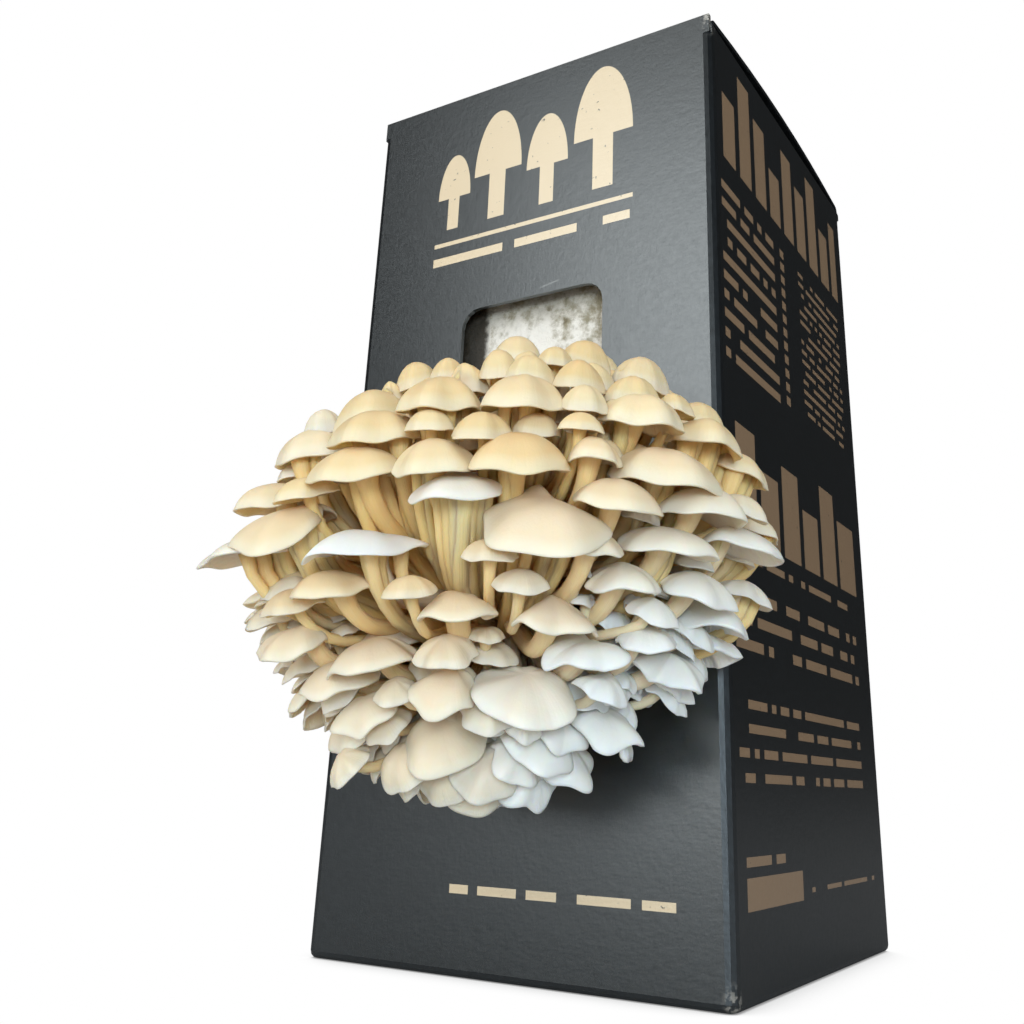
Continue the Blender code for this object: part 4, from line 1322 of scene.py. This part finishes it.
def card_material():
    """Printed card: dark slate with a fine linen grain, worn corners, generic print and a painted
    shade line along the front's top edge.
    """
    finish = Finish("printed_card", CARD_DARK, Specular_IOR_Level=1.0, IOR=1.76,
                    Specular_Tint=(0.86, 0.95, 1.0, 1.0))
    place = finish.place()
    x, y, z = finish.axes(place)
    cloud = finish.noise(place, 28.0)
    weave_a = finish.noise(finish.place(1.0, 1.0, 0.35), 1500.0, 1.0)
    weave_b = finish.noise(finish.place(0.35, 0.35, 1.0), 1500.0, 1.0)
    grain = (weave_a + weave_b) * 0.5
    fine = finish.noise(place, 620.0)
    finish.paint((grain * 0.7 + fine * 0.3).rise(0.35, 0.65), CARD_LIGHT)
    finish.paint(cloud.rise(0.45, 0.75) * 0.35, CARD_CLOUD)
    on_front = y.rise(FRONT_Y + 0.0009, FRONT_Y + 0.0007)
    on_side = x.rise(CARTON_WIDTH / 2 - 0.0009, CARTON_WIDTH / 2 - 0.0007)
    rubbed = fine.rise(0.24, 0.33)
    finish.paint(front_print(finish.tree, x, z) * on_front * rubbed, FRONT_INK)
    finish.paint(side_print(finish.tree, y, z) * on_side * rubbed, SIDE_INK)
    inner = (y.rise(FRONT_Y + PANEL_SKIN, FRONT_Y + 0.0012)
             * y.rise(FRONT_Y + 0.0030, FRONT_Y + 0.0014)
             * x.off(WINDOW_CENTRE_X).rise(WINDOW_WIDTH / 2 + 0.0010, WINDOW_WIDTH / 2))
    finish.paint(inner * 0.5, CARD_EDGE)
    crease = z - WINDOW_TOP - CREASE_RISE - (x - CREASE_X) * CREASE_SLOPE
    crease = crease.math('ABSOLUTE').rise(0.00035, 0.0001)
    finish.paint(crease * x.off(CREASE_X).rise(0.0032, 0.0018) * on_front * 0.35, CARD_CREASE)
    # Painted shade: a dark line along the top edge of the front panel.
    top_edge_shade = z.rise(CARTON_HEIGHT - 0.0011, CARTON_HEIGHT - 0.0006) * on_front
    finish.paint(top_edge_shade * 0.8, CARD_SHADOW)
    near_corner = (x.off(CARTON_WIDTH / 2) + y.off(FRONT_Y)).rise(0.0032, 0.0006)
    at_ends = z.rise(CARTON_HEIGHT - 0.007, CARTON_HEIGHT - 0.001).higher(z.rise(0.006, 0.001))
    worn = near_corner * at_ends * finish.noise(place, 900.0).rise(0.47, 0.6)
    finish.paint(worn * 0.8, CARD_WORN)
    finish.feed("Roughness", grain * 0.16 + 0.25)
    return finish.finished(grain * 0.6 + fine * 0.5, 0.00014, 0.35)


def dress_carton():
    """Gives the carton's own node its printed card."""
    material = card_material()
    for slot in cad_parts["carton"].material_slots:
        slot.material = material


# Block

def make_block_piece():
    """Builds the block of spawn with fine lumps, inside the solid that it stands for."""
    low, high = (Vector(corner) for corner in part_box("spawn_block"))
    size = high - low
    middle = (high + low) / 2
    bm = bmesh.new()
    bmesh.ops.create_cube(bm, size=1.0)
    bmesh.ops.subdivide_edges(bm, edges=bm.edges, cuts=BLOCK_CUTS, use_grid_fill=True)
    for vert in bm.verts:
        place = vert.co.copy()
        round_off = (2 * abs(place.x)) ** 12 + (2 * abs(place.y)) ** 12 + (2 * abs(place.z)) ** 12
        place *= round_off ** (-1 / 60)
        vert.co = Vector([place[i] * size[i] + middle[i] for i in range(3)])
        lumps = 0.5 + 0.5 * noise.noise(vert.co * 60)
        grains = 0.5 + 0.5 * noise.noise(vert.co * 260)
        inward = (middle - vert.co).normalized()
        vert.co += inward * (BLOCK_LUMPS * lumps + BLOCK_GRAINS * grains)
    mesh = mesh_of(bm, "spawn_surface")
    mesh.polygons.foreach_set("use_smooth", [True] * len(mesh.polygons))
    mesh.materials.append(spawn_material())
    place_piece(add_object("spawn_surface", mesh), "spawn_block")


# Stage

def make_floor():
    """Lays a white floor that darkens only where the carton stands on it."""
    bm = bmesh.new()
    bmesh.ops.create_grid(bm, x_segments=2, y_segments=2, size=FLOOR_HALF)
    mesh = mesh_of(bm, "floor")
    material = bpy.data.materials.new("floor_white")
    material.use_nodes = True
    tree = material.node_tree
    shader = tree.nodes["Principled BSDF"]
    path = add_node(tree, "LightPath", {})
    contact = add_node(tree, "AmbientOcclusion", {"Distance": CONTACT_SHADOW}, samples=16)
    shade = Field(tree, contact.outputs["AO"]).rise(0.05, 0.75) * 0.75 + 0.25
    tone = Field(tree, path.outputs["Is Glossy Ray"]) * (FLOOR_GLOSS - FLOOR_TONE) + FLOOR_TONE
    glow = add_node(tree, "Emission", {"Strength": shade})
    give(tree, shader.inputs["Roughness"], 0.8)
    give(tree, shader.inputs["Base Color"], tone)
    mix = add_node(tree, "MixShader", {0: path.outputs["Is Camera Ray"], 1: shader.outputs[0],
                                       2: glow.outputs[0]})
    give(tree, tree.nodes["Material Output"].inputs["Surface"], mix.outputs[0])
    mesh.materials.append(material)
    add_object("floor", mesh)


def make_world():
    """Sets a white backdrop and a soft, even light."""
    world = bpy.data.worlds.new("studio")
    bpy.context.scene.world = world
    world.use_nodes = True
    tree = world.node_tree
    background = tree.nodes["Background"]
    path = add_node(tree, "LightPath", {})
    seen = Field(tree, path.outputs["Is Camera Ray"])
    glossy = Field(tree, path.outputs["Is Glossy Ray"])
    strength = seen * (1.0 - WORLD_LIGHT) - glossy * (WORLD_LIGHT - WORLD_GLOSS) + WORLD_LIGHT
    give(tree, background.inputs["Color"], (1, 1, 1, 1))
    give(tree, background.inputs["Strength"], strength)


def add_lamp(name, place, target, size, power, colour):
    """Adds a soft lamp that looks at a target."""
    light = bpy.data.lights.new(name, 'AREA')
    light.shape = 'RECTANGLE'
    light.size, light.size_y = size
    light.energy = power
    light.color = colour
    lamp = add_object(name, light)
    lamp.location = place
    lamp.rotation_euler = (Vector(target) - Vector(place)).to_track_quat('-Z', 'Y').to_euler()


def make_camera():
    """Places the camera from which the photograph was taken."""
    azimuth, elevation, roll = (math.radians(a) for a in CAMERA_ANGLES)
    view = Vector((math.sin(azimuth) * math.cos(elevation),
                   math.cos(azimuth) * math.cos(elevation), math.sin(elevation)))
    right = view.cross(Vector((0, 0, 1))).normalized()
    up = right.cross(view)
    turned_right = right * math.cos(roll) + up * math.sin(roll)
    turned_up = up * math.cos(roll) - right * math.sin(roll)
    data = bpy.data.cameras.new("camera")
    data.lens = CAMERA_LENS
    data.shift_x, data.shift_y = CAMERA_SHIFT
    data.clip_start = 0.005
    camera = add_object("camera", data)
    camera.matrix_world = Matrix.Translation(CAMERA_PLACE) @ Matrix(
        (turned_right, turned_up, -view)).transposed().to_4x4()
    bpy.context.scene.camera = camera


def main():
    """Dresses the whole kit and sets the stage."""
    bpy.context.scene.view_settings.view_transform = 'Standard'
    make_camera()
    make_world()
    make_floor()
    for lamp in LAMPS:
        add_lamp(*lamp)
    dress_carton()
    make_block_piece()
    make_clump_pieces()


main()
